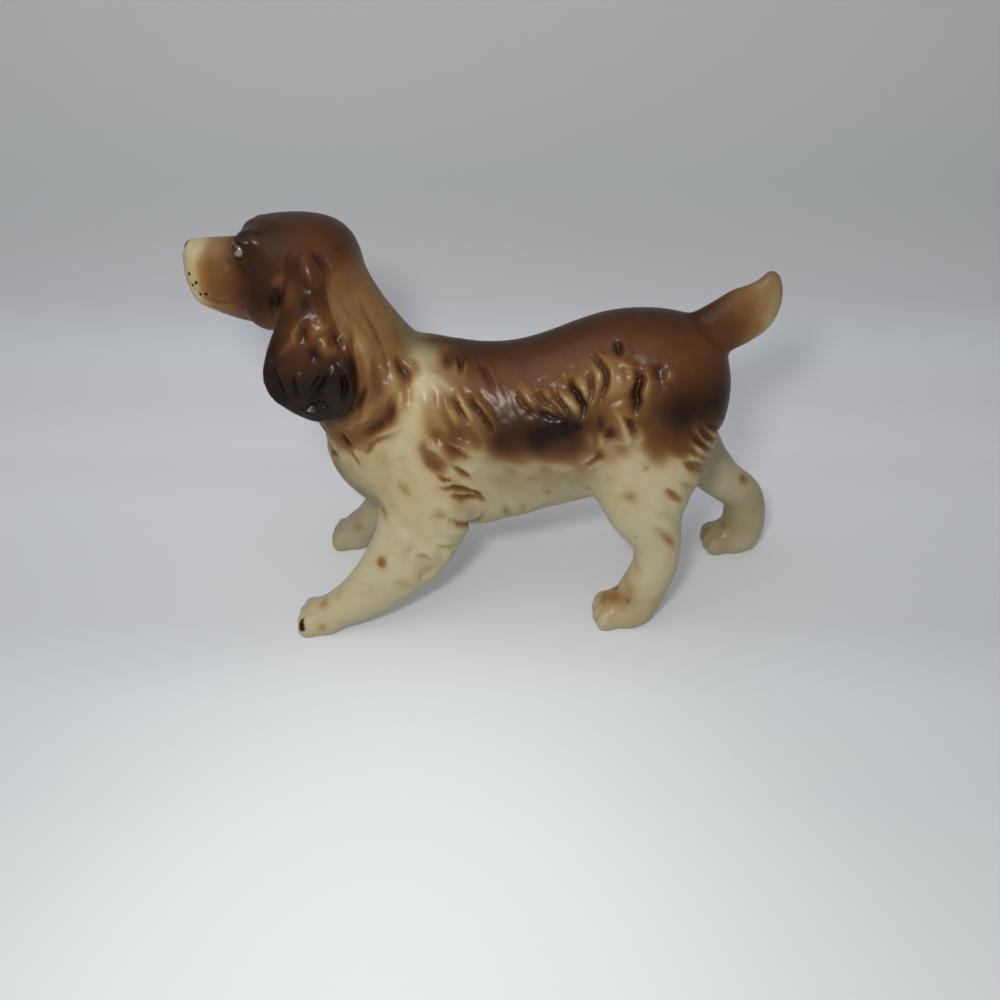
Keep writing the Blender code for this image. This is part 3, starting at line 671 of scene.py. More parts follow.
# %% Feathers of the thigh
THIGH_LOCKS = (
    (0.6, 1.1, 1, (689, 425), (694, 438), (701, 446), (710, 451)),
    (0.6, 1, 1, (696, 424), (702, 434), (712, 441)),
    (0.55, 0.9, 0.9, (702, 421), (710, 428), (719, 432)),
    (0.6, 0.8, 0.8, (686, 444), (693, 452), (702, 458)),
    (0.9, 0.9, 0.8, (681, 459), (690, 467), (703, 471)),
    (0.55, 0.6, 0.7, (687, 459), (695, 462), (704, 463)),
    (0.8, 0.5, 0.5, (664, 487), (672, 495), (682, 502)),
    (1.1, 0.6, 0.6, (651, 526), (662, 535), (672, 543), (678, 553)),
    (0.7, 0.4, 0.3, (676, 478), (684, 484), (692, 487)),
    (0.9, -0.7, -0.9, (690, 424), (698, 438), (707, 446)),
    (0.9, -0.7, -0.9, (699, 424), (706, 432), (716, 436)),
    (1.1, -0.7, -0.9, (688, 440), (697, 450), (708, 456)),
    (1.1, -0.6, -0.7, (684, 452), (694, 459), (705, 467)),
    (1.1, -0.5, -0.4, (676, 468), (686, 477), (698, 482)),
    (1.2, -0.4, 0, (650, 500), (660, 508), (670, 518)),
    (1.2, -0.4, 0, (664, 520), (674, 530), (682, 542)),
)
clay.trace(THIGH_LOCKS, lip=0.3)
print(len(THIGH_LOCKS), "strokes behind the thigh")

# %% [markdown]
# The mane falls from the throat over the chest in long locks, most of them wide and shallow, and only the
# few that show as dark lines in the picture are deep.

# %% Mane of the neck and chest
MANE_LOCKS = (
    (0.7, 1.1, 0.9, (366, 386), (363, 394), (360, 402), (356, 412)),
    (1.2, 0.7, 0.8, (395, 354), (401, 366), (407, 375), (407, 385)),
    (1.3, 0.7, 0.8, (391, 396), (392, 407), (386, 420), (373, 430), (359, 437)),
    (0.9, 1, 1, (339, 434), (345, 440), (353, 447)),
    (0.45, 0.8, 1, (349, 451), (355, 457), (360, 467)),
    (0.6, 0.5, 0.5, (393, 436), (381, 439), (371, 447), (364, 458)),
    (0.8, 0.8, 0.9, (326, 438), (330, 449), (335, 458)),
    (1, 0.4, 0.4, (371, 352), (376, 372), (377, 392), (372, 404)),
    (1.1, 0.3, 0.4, (413, 357), (418, 366), (416, 378)),
    (0.8, 0.3, 0.3, (383, 350), (388, 366), (389, 384)),
    (0.8, 0.3, 0.2, (356, 290), (366, 312), (378, 336), (386, 356)),
    (1.2, 0.4, 0.5, (371, 495), (379, 505), (387, 522)),
    (1.2, 0.3, 0.3, (396, 481), (405, 491), (409, 499)),
    (0.8, 0.2, 0.2, (395, 460), (402, 459), (409, 456)),
    (1.2, -0.5, -0.3, (357, 384), (353, 399), (348, 413), (334, 423)),
    (1.3, -0.6, -0.4, (378, 398), (370, 412), (358, 423), (340, 431)),
    (1.6, -0.6, -0.3, (389, 358), (394, 378), (392, 393), (384, 409)),
    (1.1, -0.5, -0.6, (408, 427), (391, 431), (377, 436), (366, 446)),
    (1.2, -0.4, -0.4, (404, 386), (401, 400), (396, 414)),
    (0.8, -0.5, -0.5, (358, 448), (356, 455), (361, 463)),
    (1, -0.4, -0.3, (365, 350), (369, 370), (368, 388)),
)
clay.trace(MANE_LOCKS, lip=0.3)
print(len(MANE_LOCKS), "strokes in the mane")

# %% [markdown]
# The legs have no long hair but soft folds over the joints. The left legs are traced and not mirrored,
# because the right ones lean another way. These get a few folds of their own, drawn in the side view.

# %% Folds of the legs
LEFT_LEG_FOLDS = (
    (1, 0.7, 0.4, (415, 557), (424, 558), (433, 563)),
    (1.8, -0.6, 0, (394, 530), (405, 539), (414, 550)),
    (1.4, -0.5, 0, (420, 551), (431, 554), (441, 560)),
    (1.4, 0.5, 0.1, (411, 548), (406, 559), (405, 571)),
    (1.3, 0.5, 0.1, (438, 565), (429, 574), (418, 581)),
    (1.4, -0.5, 0, (447, 547), (449, 556), (443, 568)),
    (0.8, 0.4, 0.1, (438, 545), (448, 548), (458, 547)),
    (1.4, 0.5, 0.1, (395, 582), (404, 588), (414, 591)),
    (1.6, -0.5, 0, (410, 566), (416, 575), (414, 586)),
    (0.6, 0.2, 0.2, (356, 590), (360, 585), (367, 585), (372, 590), (368, 594), (360, 594), (356, 590)),
    (1.4, -0.5, 0, (652, 519), (664, 527), (677, 541)),
    (0.9, 0.4, 0.3, (663, 487), (671, 494), (680, 500)),
    (1.6, 0.4, 0.2, (642, 578), (634, 566), (635, 554)),
    (0.9, 0.5, 0.4, (505, 504), (507, 511), (509, 518)),
    (0.7, 0.4, 0.3, (523, 503), (524, 510), (525, 516)),
    (0.8, 0.4, 0.4, (545, 488), (549, 495), (553, 502)),
)
clay.trace(LEFT_LEG_FOLDS, mirrored=False)
RIGHT_LEG_FOLDS = (
    (1, 0.8, (-31.5, 40), (-29.5, 38), (-28.5, 35)),
    (1, 0.9, (62, 37), (66, 35.5), (70, 33.5), (75, 30)),
    (0.8, 0.6, (58, 46), (61, 44), (64, 42.5)),
)
clay.draw(RIGHT_LEG_FOLDS, side=1, mirrored=False)
print("deepest groove so far, mm:", round(-clay.relief.min(), 2))

# %% [markdown]
# Between the deep locks the coat is only combed. Hundreds of thin strokes follow a field of directions,
# like iron filings. A few combs give the way that the hair lies, as an angle in the side view, and
# between them the direction is their mean, weighted by a bell curve of the distance. Each stroke starts
# at a place drawn at random in one of the tufts and walks along the field with a slight curl.

# %% Combed hair
rng = np.random.default_rng(7)
COMB_REACH = 12.0
CURL = 0.6
COMBS = (
    (-36, 98, -70),
    (-30, 86, -65),
    (-27, 74, -75),
    (-34, 60, -105),
    (-36, 48, -95),
    (-18, 70, -80),
    (-12, 60, -65),
    (-6, 50, -35),
    (-8, 40, -30),
    (-20, 42, -105),
    (-22, 28, -110),
    (-2, 70, -62),
    (12, 66, -52),
    (8, 36, -60),
    (20, 40, -60),
    (26, 72, -80),
    (36, 68, -92),
    (44, 74, -110),
    (52, 62, -55),
    (40, 50, -100),
    (50, 46, -45),
    (46, 34, -70),
    (66, 84, 40),
)
# middle x and z of a tuft, its two half sizes, raised locks, thin grooves, length, width and depth
TUFTS = (
    (-29, 80, 6, 10, 8, 16, 11, 0.9, 0.28),
    (-29, 64, 8, 7, 12, 22, 9, 0.9, 0.38),
    (-35, 51, 5, 6, 8, 16, 8, 0.9, 0.36),
    (-19, 70, 4, 7, 5, 8, 9, 1, 0.26),
    (-6, 62, 6, 8, 10, 16, 9, 0.9, 0.36),
    (-8, 51, 5, 5, 8, 14, 8, 0.9, 0.42),
    (-11, 38, 5, 6, 5, 10, 7, 1.1, 0.26),
    (-22, 30, 5, 9, 4, 8, 8, 1.3, 0.18),
    (7, 67, 6, 5, 8, 12, 8, 0.9, 0.38),
    (17, 65, 7, 5, 10, 18, 7, 0.9, 0.44),
    (4, 36, 13, 4, 8, 16, 6, 1, 0.3),
    (21, 42, 7, 4, 5, 8, 6, 1, 0.26),
    (28, 68, 7, 8, 14, 26, 9, 0.9, 0.46),
    (37, 66, 5, 8, 6, 14, 9, 1, 0.36),
    (44, 70, 4, 6, 3, 6, 8, 1.2, 0.26),
    (53, 58, 5, 8, 10, 24, 8, 0.9, 0.46),
    (41, 47, 7, 7, 5, 10, 8, 1.2, 0.22),
    (50, 45, 4, 5, 4, 10, 6, 1, 0.32),
    (65, 84, 5, 5, 4, 12, 7, 0.9, 0.24),
)


def combed(places):
    """Unit direction of the hair at x and z."""
    combs = np.array(COMBS)
    away = ((places[:, None] - combs[:, :2]) ** 2).sum(-1)
    weight = np.exp(-away / COMB_REACH**2)
    angle = np.radians(combs[:, 2])
    way = weight @ np.stack([np.cos(angle), np.sin(angle)], -1)
    return way / np.linalg.norm(way, axis=1, keepdims=True)


def walked(places, length, steps=6):
    """Paths that follow the comb from each place, with an S-shaped curl to one side and back."""
    path = [places]
    swing = rng.uniform(-CURL, CURL, len(places))
    for k in range(steps):
        way = combed(path[-1])
        curl = swing * np.cos(np.pi * k / (steps - 1))
        turned = np.stack([way[:, 0] - curl * way[:, 1], way[:, 1] + curl * way[:, 0]], -1)
        path.append(path[-1] + turned * length / steps)
    return np.stack(path, 1)


LOCK_WIDTH = 1.6
LOCK_HEIGHT = 0.12
COMB_DEPTH = 0.32
for x, z, half_x, half_z, locks, grooves, length, width, depth in TUFTS:
    for side in (-1, 1):
        spread = rng.uniform(-1, 1, (locks + grooves, 2)) * (half_x, half_z)
        paths = walked(spread + (x, z) - combed(np.array([[x, z]])) * length / 2, length)
        for k, path in enumerate(paths):
            strength = rng.uniform(0.6, 1.2)
            way = clay.landed(path, side=side)
            if k < locks:
                clay.stroke(way, LOCK_WIDTH, -LOCK_HEIGHT * strength, lip=0.35)
            else:
                clay.stroke(way, width * rng.uniform(0.7, 1.0), COMB_DEPTH * depth * strength)
print("combed coat, depth in mm:", round(-clay.relief.min(), 2), "to", round(clay.relief.max(), 2))

# %% [markdown]
# The chest faces forward and the belly down, where the side view doesn't reach. Their hair is drawn in a
# view from the front, with y and z, and one from below, with x and y.

# %% Chest and belly
CHEST_STROKES, CHEST_DEPTH, CHEST_FAN = 40, 0.35, 0.12
CHEST_Y, CHEST_Z = (-10, 10), (40, 68)
BELLY_STROKES, BELLY_DEPTH, BELLY_FAN = 36, 0.3, 0.15
BELLY_X, BELLY_Y = (-14, 26), (-12, 12)
HAIR_STEP = 4
for _ in range(CHEST_STROKES):
    y, z = rng.uniform(*CHEST_Y), rng.uniform(*CHEST_Z)
    lean = CHEST_FAN * y + rng.uniform(-1.2, 1.2)
    hair = (y, z), (y + lean / 2, z - HAIR_STEP), (y + lean, z - 2 * HAIR_STEP)
    clay.draw([(rng.uniform(0.8, 1.2), CHEST_DEPTH, *hair)], axis=0, side=-1, mirrored=False)
for _ in range(BELLY_STROKES):
    x, y = rng.uniform(*BELLY_X), rng.uniform(*BELLY_Y)
    lean = BELLY_FAN * y + rng.uniform(-1.5, 1.5)
    hair = (x, y), (x + HAIR_STEP, y + lean / 2), (x + 2 * HAIR_STEP, y + lean)
    clay.draw([(rng.uniform(0.9, 1.3), BELLY_DEPTH, *hair)], axis=2, side=-1, mirrored=False)
print("chest and belly combed")

# %% [markdown]
# The face is modelled with the same tool. A negative depth raises a ridge, which makes the eyelids and the
# edge of the lip. The nose gets two nostrils and a cleft, and each paw gets a groove between its toes.

# %% Face and toes
EYE = (-56.4, 6.7, 102.9)
EYE_SIZE = (4.2, 4.2, 3.8)
FACE_LINES = (
    (0.6, 0.5, (-71, 96), (-68.5, 92.6), (-64, 90.4), (-58.5, 90.2), (-55, 91.8)),
    (1.8, 0.5, (-61, 100), (-57.5, 98.6), (-53.5, 98.4)),
    (0.7, -0.6, (-58.6, 103.4), (-57.4, 105.3), (-55.2, 105.5), (-53.4, 104.2)),
    (0.5, -0.45, (-58.4, 101.9), (-57, 100.5), (-55.2, 100.4), (-53.6, 102)),
    (1.2, 0.5, (-50.5, 98), (-48.8, 93), (-49.2, 87)),
)
clay.draw(FACE_LINES, lip=0.3)
NOSE_LINES = (
    (0.5, 0.7, (-2.2, 101.6), (-1.5, 100.6), (-1.7, 99.9)),
    (0.5, 0.7, (2.2, 101.6), (1.5, 100.6), (1.7, 99.9)),
    (0.4, 0.4, (0, 100), (0, 97), (0, 93), (0, 90.5)),
)
clay.draw(NOSE_LINES, axis=0, mirrored=False)

TOE_GROOVE = (0.7, 0.25)
TOE_GROOVE_BACK, TOE_GROOVE_FRONT = 4.5, 3.0
TOE_FLARE = 0.08
for paw in PAWS:
    toes = toe_places(paw)
    for (_, ax, ay), (_, bx, by) in zip(toes[:-1], toes[1:]):
        x, y = (ax + bx) / 2, (ay + by) / 2
        flare = TOE_FLARE * (y - toes[:, 2].mean())
        split = (x + TOE_GROOVE_BACK, y), (x, y), (x - TOE_GROOVE_FRONT, y + flare)
        clay.draw([(*TOE_GROOVE, *split)], axis=2, side=1, mirrored=False, lip=0.2)
print("face and toes drawn")

# %% [markdown]
# Each ear has a smooth raised knob at the hinge, and below it long snaking locks that end in curls. The
# locks are a rounded comb wave over u, whose phase swings to and fro on the way down and which grows deeper
# towards the tips. The curls are traced over it one by one, and a negative depth raises the knob.

# %% Locks of the ears
EAR_LOCKS = 3.0
EAR_LOCK_DEPTH = 0.25
EAR_SNAKE, EAR_SNAKE_TURNS = 0.32, 1.7
EAR_SAMPLES = 200
EAR_CURLS = (
    (2.8, -1.5, 0, (302, 252), (306, 262), (313, 271), (320, 279), (326, 287)),
    (1.17, -0.8, -0.3, (270, 288), (279, 281), (285, 274)),
    (1.6, -0.4, -0.2, (290, 280), (292, 297), (288, 314)),
    (1.3, 0.5, 0.3, (297, 248), (299, 266), (305, 284), (316, 294)),
    (1.4, 0.5, 0.3, (313, 250), (324, 264), (332, 280)),
    (1.17, 0.8, 0.4, (285, 288), (276, 298), (275, 310)),
    (2.2, 0.4, 0.9, (298, 303), (305, 307), (313, 306)),
    (1.8, -0.7, 0, (332, 300), (347, 320), (360, 338), (368, 353), (368, 370)),
    (0.78, -0.8, -0.5, (306, 316), (297, 328), (295, 338), (299, 354)),
    (0.78, -0.7, -0.4, (296, 337), (289, 347), (279, 357)),
    (0.78, -0.8, -0.4, (319, 316), (321, 324), (331, 327)),
    (0.78, -0.8, -0.5, (330, 328), (320, 330), (312, 335)),
    (0.91, -1, -0.5, (327, 334), (325, 345), (333, 352), (337, 346)),
    (0.78, -0.7, -0.4, (343, 336), (346, 348), (350, 360)),
    (0.78, -0.7, -0.3, (357, 341), (362, 350), (367, 360)),
    (1.3, 0.9, 0.8, (311, 343), (314, 354), (322, 362)),
    (0.91, 0.8, 0.5, (302, 322), (303, 334), (307, 345)),
    (0.91, 0.8, 0.5, (334, 330), (338, 338), (341, 350)),
    (1.04, -1.2, 0, (318, 391), (325, 385), (331, 375), (336, 366)),
    (0.78, -1, 0, (345, 372), (349, 386), (347, 397)),
    (0.78, -0.8, 0, (339, 376), (341, 388), (340, 400)),
    (0.91, -0.8, 0, (300, 372), (298, 384), (301, 396)),
    (1, -0.6, 0, (262, 366), (266, 382), (274, 397), (285, 408)),
    (1.17, 1.5, 0.7, (309, 402), (314, 392), (320, 382), (327, 374)),
    (0.78, 1.4, 0.5, (342, 372), (345, 386), (343, 400)),
    (1.04, 1, 0.4, (270, 360), (274, 375), (279, 389), (290, 400)),
    (1.04, 1, 0.4, (292, 372), (293, 386), (298, 400)),
    (1.04, 0.8, 0.4, (306, 408), (318, 406), (330, 402)),
    (1.04, -0.8, 0, (300, 410), (312, 412), (326, 409)),
)


def on_ear(points):
    """For each point its u across the ear, its v down the ear, and whether it is on the flap's outside."""
    front, rear, middle, level = curve_through(EAR, EAR_SAMPLES)[::-1].T
    x, y, z = points.T
    u = (2 * x - np.interp(z, level, front + rear)) / np.interp(z, level, rear - front)
    v = np.interp(z, level, np.linspace(1, 0, EAR_SAMPLES))
    outside = (np.abs(y) > np.interp(z, level, middle) - 1.0) & (z > level[0]) & (z < level[-1])
    return u, v, outside


ear_u, ear_v, ear_outside = on_ear(skin)
outward = eased(smooth_normals[:, 1] * np.sign(skin[:, 1]), 0.1, 0.5)
snake = EAR_SNAKE * np.sin(2 * np.pi * (EAR_SNAKE_TURNS * ear_v + 0.25 * ear_u)) + 0.5 * ear_v
comb = 1.6 * np.abs(np.sin(np.pi * (EAR_LOCKS * (ear_u + 1) / 2 + snake))) ** 0.7 - 1.0
ear_shape = ear_outside * outward * np.sqrt(1 - ear_u.clip(-1, 1) ** 2) * eased(ear_v, 0.4, 0.6)
clay.relief += EAR_LOCK_DEPTH * comb * ear_shape
clay.trace(EAR_CURLS, drift=0.3, lip=0.3)
print("ears carved")

# %% [markdown]
# The relief now moves the skin. Where many strokes cross, their sum is bent back with a tanh so that no
# groove gets deeper than the wall allows. The ridge of the back is sponged nearly smooth, and behind the
# left thigh the long hair stands out a little farther than the section of the leg. The eyes sit in shallow
# sockets, and the soles are pressed flat on the table, which is the kiln shelf's mark on the real one.


# %% Move the skin
def puff(points, path, reach):
    """1 along a line of points, and a bell curve of the distance around it, the same on both sides."""
    mirrored = points * (1, 0, 1) + np.abs(points) * (0, 1, 0)
    rows = curve_through(path, 4 * len(path)) if len(path) > 1 else np.array(path, float)
    cover = np.zeros(len(points))
    low, high = rows.min(0) - 3 * reach, rows.max(0) + 3 * reach
    near = ((mirrored > low) & (mirrored < high)).all(1)
    cover[near] = np.exp(-((mirrored[near][:, None] - rows) ** 2).sum(-1).min(1) / reach**2)
    return cover


DEEPEST = 1.9
HIGHEST = 1.3
THIGH_EDGE = ((54.0, 11.0, 60.0), (52.5, 12.0, 55.0), (50.0, 14.0, 48.0), (47.5, 15.0, 42.0))
THIGH_TUFT, THIGH_REACH = 2.6, 6.5
BACK_SMOOTH = 0.85
SOCKET_DEPTH = 0.9
SOCKET_REACH = 2.4
limit = np.where(clay.relief < 0, DEEPEST, HIGHEST)
relief = limit * np.tanh(clay.relief / limit)
back = eased(smooth_normals[:, 2], 0.80, 0.96) * eased(skin[:, 2], 68.0, 72.0)
relief *= 1 - BACK_SMOOTH * back * eased(skin[:, 0], -30.0, -22.0)
relief += THIGH_TUFT * puff(skin, THIGH_EDGE, THIGH_REACH) * (skin[:, 1] < 0)
for side in (-1, 1):
    away = np.linalg.norm(skin - np.array(EYE) * (1, side, 1), axis=1)
    relief -= SOCKET_DEPTH * np.exp(-((away / SOCKET_REACH) ** 4))
skin = sponged(skin + smooth_normals * relief[:, None], net, 1)
skin[:, 2] = np.maximum(skin[:, 2], 0.0)
skin_normals = normals_of(skin, net)
print("skin with its coat, mm:", np.round(skin.max(0) - skin.min(0), 1))

# %% [markdown]
# The colour was sprayed on through air, in soft passes: thin brown over ivory looks golden, a second pass
# turns it chestnut, and a last pass of black-brown darkens the spine, the flank, the rump and the face.
# So two layers are enough, and each is one number per point, from 0 to 1: how much brown and how much
# dark. A pass is either a patch with an outline in the side view, whose edge fades over some millimetres,
# or a puff along a line of points. Colour also gathers in the grooves and thins out on the ridges.


# %% Airbrush
PATCH_GRID = 0.8
PATCH_WOBBLE = 9.0
WAVES = 8


def wobble(points, size, seed):
    """A smooth random field between about -1 and 1: the mean of eight sine waves of that length."""
    draw = np.random.default_rng(seed)
    way = draw.normal(size=(3, WAVES))
    way /= np.linalg.norm(way, axis=0)
    wave = 2 * np.pi / size * draw.uniform(0.6, 1.6, WAVES)
    return np.sin(points @ (way * wave) + draw.uniform(0, 2 * np.pi, WAVES)).mean(1) * 2


def patch(points, outline, soft, rough=1.0, seed=1):
    """Cover of a sprayed patch: 1 inside the outline of the side view, 0 outside, and a fade of the given
    softness between, moved to and fro by a wobble. The distance to the outline is that to its nearest edge,
    with a minus sign outside, and a place is inside where a line to the right crosses an odd number of
    edges. It is worked out on a grid of the side view and read off between the grid's places."""
    loop = curve_through([*outline, outline[0]], 6 * len(outline))
    a, b = loop[:-1], loop[1:]
    origin = points.min(0)[[0, 2]] - 1
    across, up = np.ceil((points.max(0)[[0, 2]] - origin) / PATCH_GRID).astype(int) + 2
    flat = np.stack(np.meshgrid(np.arange(across), np.arange(up), indexing="ij"), -1) * PATCH_GRID + origin
    flat = flat[:, :, None]
    share = np.clip(((flat - a) * (b - a)).sum(-1) / ((b - a) ** 2).sum(-1), 0, 1)
    away = np.sqrt(((flat - a - share[..., None] * (b - a)) ** 2).sum(-1)).min(-1)
    above = (a[:, 1] > flat[..., 1]) != (b[:, 1] > flat[..., 1])
    rise = np.where(b[:, 1] == a[:, 1], 1e-9, b[:, 1] - a[:, 1])
    crossing = a[:, 0] + (flat[..., 1] - a[:, 1]) / rise * (b[:, 0] - a[:, 0])
    inside = (above & (flat[..., 0] < crossing)).sum(-1) % 2 == 1
    signed = np.where(inside, away, -away)
    at = (points[:, [0, 2]] - origin) / PATCH_GRID
    i, j = at.astype(int).T
    s, t = (at - at.astype(int)).T
    low = signed[i, j] * (1 - s) + signed[i + 1, j] * s
    high = signed[i, j + 1] * (1 - s) + signed[i + 1, j + 1] * s
    return eased(low * (1 - t) + high * t + rough * wobble(points, PATCH_WOBBLE, seed), -soft, soft)


# %% [markdown]
# The first pass is brown. Its two large patches, the saddle over the back and the mane with the head, are
# outlines in the side view. Lighter places are taken out of them, and thin washes and freckles are laid on
# the ivory between them. The muzzle fades towards the nose, and the tail towards its tip.

# %% Patches, washes and freckles
SADDLE = (
    (-14, 80), (-11, 77), (-9.5, 73.5), (-8, 69.5), (-6.5, 65), (-4.5, 60),
    (0, 55.5), (5, 53.5), (11, 52.5), (19, 52.5), (25, 54.5), (29, 56.5),
    (32.5, 58), (36, 57.5), (41, 55.5), (47, 53.5), (51, 55), (54.5, 57),
    (60, 59), (70, 64), (76, 76), (70, 92), (50, 100), (0, 96),
    (-14, 90),
)
MANE = (
    (-44, 56), (-37.5, 53), (-33.5, 53), (-29, 55.5), (-25, 58.5), (-21.5, 62.5), (-19.5, 66),
    (-18, 70), (-17.5, 75), (-19, 80), (-21, 86), (-24, 98), (-28, 116), (-62, 116),
    (-62, 84), (-50, 74), (-46, 62),
)
# places of a thinner pass, its reach, and how much brown it lacks
GOLD = (
    (((-8, 17, 75), (-6, 18, 68), (-4, 18, 61)), 6.5, 0.26),
    (((24, 17, 71), (31, 18, 71), (36, 19, 66), (33, 19, 60)), 7.5, 0.24),
    (((8, 18, 69), (17, 18, 68)), 4, 0.16),
)
# places of a thin wash on the ivory, its reach and its strength
WASHES = (
    (((-10.5, 18, 68), (-10, 18, 63), (-8, 18.5, 57)), 6, 0.55),
    (((-5.5, 18, 63), (-4, 18, 58)), 4.5, 0.6),
    (((-21, 16.5, 74), (-21.5, 17, 68)), 4, 0.3),
    (((28, 18, 57), (33, 18.5, 56)), 4.5, 0.35),
    (((-12, 18, 64), (-13, 18.5, 56), (-9, 19, 48), (-5, 18.5, 42)), 6.5, 0.2),
    (((50, 17, 59), (54, 15, 54), (50, 17, 49)), 6, 0.22),
    # painted shade on the chest, under the head
    (((-41, 0, 54), (-39, 6, 48), (-37, 10, 42)), 7, 0.26),
    (((-33, 13, 55), (-28, 16, 52)), 6, 0.2),
    (((4, 10, 28), (14, 10, 31), (24, 10, 34)), 6, 0.16),
    # painted shade on the belly, just under the brown
    (((4, 18, 49.5), (14, 18, 48.5), (25, 18, 50)), 6, 0.24),
    # partly a thin brown wash and partly painted shade of the body, on the hind paw
    (((36, 18, 10), (42, 17.5, 8)), 6.5, 0.44),
    (((34, 19, 44), (38, 19, 52)), 9, 0.07),
    (((-24, 19, 48), (-22, 19, 42)), 9, 0.15),
    (((76, 18, 9), (82, 18, 14)), 8, 0.18),
)
# pixel across and down, reach and strength of a freckle that the picture shows
SEEN_SPOTS = (
    (382, 563, 1.7, 0.5),
    (325, 603, 1.7, 0.26),
    (322, 628, 1.6, 0.32),
    (338, 595, 1.3, 0.2),
    (413, 578, 0.4, 0.5),
    (404, 583, 2.4, 0.12),
    (425, 571, 2.6, 0.12),
    (440, 516, 2.2, 0.28),
    (405, 487, 2.8, 0.22),
    (678, 484, 1.4, 0.62),
    (630, 497, 2.4, 0.32),
    (646, 468, 1.3, 0.34),
    (588, 488, 1.1, 0.26),
    (608, 479, 1.6, 0.16),
    (616, 588, 2.4, 0.4),
    (628, 602, 1.7, 0.42),
    (602, 596, 2.4, 0.16),
    (635, 538, 0.4, 0.5),
    (743, 478, 1.8, 0.4),
    (722, 525, 2.6, 0.3),
    (706, 531, 2.8, 0.28),
    (358, 528, 1.9, 0.28),
    (507, 511, 1.2, 0.36),
    (524, 510, 0.9, 0.26),
)
# x, z, reach and strength of a freckle on the right side
RIGHT_SPOTS = (
    (5, 34.5, 1.8, 0.25),
    (14, 38.5, 1.5, 0.22),
    (22, 43, 2.4, 0.25),
    (55, 47, 2.4, 0.45),
    (66, 36, 2.4, 0.3),
    (77.5, 29.5, 2.8, 0.34),
    (-15, 38, 2.2, 0.3),
    (-27, 27, 2.2, 0.32),
    (-35, 14, 2.2, 0.25),
    (74, 7, 4.6, 0.26),
)


# %% Brown passes of the body
# cover of each pass, and what it loses on the way: the tail to its tip and below, the muzzle over its
# middle, to its front and on its top
SADDLE_COVER, SADDLE_SOFT = 0.84, 5.5
TAIL_COVER, TAIL_TIP, TAIL_BELOW = 0.84, 0.52, 0.24
MANE_COVER, MANE_SOFT = 0.66, 4.0
MUZZLE_COVER, MUZZLE_MIDDLE, MUZZLE_FRONT, MUZZLE_TOP = 0.94, 0.26, 0.56, 0.30


def brown_of(points, normals):
    """Brown cover of the skin, before the grooves: saddle, mane and head, and tail."""
    x, _, z = points.T
    saddle = SADDLE_COVER * patch(points, SADDLE, SADDLE_SOFT, rough=1.6, seed=2)
    for path, reach, less in GOLD:
        saddle = saddle - less * puff(points, path, reach)
    tail_way = eased(np.hypot(x - 58.0, z - 81.0), 2.0, 16.0)
    under = eased(-normals[:, 2], -0.3, 0.7)
    tail = TAIL_COVER - TAIL_TIP * tail_way - TAIL_BELOW * under * eased(tail_way, 0.0, 0.4)
    saddle = saddle + (tail - saddle) * eased(x, 56.0, 62.0) * eased(z, 74.0, 79.0)
    mane = patch(points, MANE, MANE_SOFT, rough=1.0, seed=3)
    mane *= MANE_COVER - 0.18 * eased(z, 68.0, 88.0) + 0.42 * eased(z - 0.6 * (x + 36.0), 92.0, 102.0)
    mane *= 1 - 0.2 * eased(x, -30.0, -20.0)
    top = eased(normals[:, 2], 0.4, 0.9)
    muzzle = MUZZLE_COVER - MUZZLE_MIDDLE * eased(-x, 56.0, 62.5) - MUZZLE_FRONT * eased(-x, 63.5, 69.5)
    muzzle -= MUZZLE_TOP * top * eased(-x, 57.0, 63.0)
    muzzle *= 1 - 0.45 * (1 - eased(z, 87.0, 93.0)) * eased(-x, 57.0, 66.0)
    ahead = eased(-x, 50.0, 56.0) * eased(z, 76.0, 80.0)
    return np.maximum(saddle, mane + (muzzle - mane) * ahead).clip(0, 1)


def freckles(points):
    """Cover of the freckles, each a soft dot at a place of the picture or of the right side."""
    seen, right = np.array(SEEN_SPOTS), np.array(RIGHT_SPOTS)
    places = np.concatenate([clay.seen(seen[:, :2]), clay.landed(right[:, :2], side=1)])
    ragged = 1 + 0.5 * wobble(points, 4.0, 11)
    total = np.zeros(len(points))
    for spot, reach, strength in zip(places, *np.concatenate([seen, right])[:, 2:].T):
        total = np.maximum(total, strength * np.exp(-((points - spot) ** 2).sum(1) * ragged / reach**2))
    return total


def softened(values, rounds):
    """One number per point, spread a little over the net."""
    return sponged(values[:, None], net, rounds)[:, 0]


soft_relief = softened(relief, 3)
pool = eased(-soft_relief, 0.10, 0.9)
crest = eased(soft_relief, 0.05, 0.6)
tint = softened(clay.tint, 2) * (0.85 + 0.3 * wobble(skin, 5.0, 21))
wiped = softened(clay.wiped, 2)
brown = brown_of(skin, skin_normals)
reach = eased(brown, 0.05, 0.5)
thin = 0.9 + 0.4 * wobble(skin, 8.0, 17)
for path, size, strength in WASHES:
    brown = np.maximum(brown, strength * puff(skin, path, size) * thin)
brown -= (0.12 * crest + 0.27 * wiped) * reach
pooled = 0.30 * pool * reach + 0.12 * pool * eased(skin[:, 2], 20.0, 36.0)
brown = brown + (1 - brown) * (0.62 * tint + pooled)
brown = np.maximum(brown, freckles(skin)).clip(0, 1)
print("share of the skin that is brown:", round(float((brown > 0.5).mean()), 2))
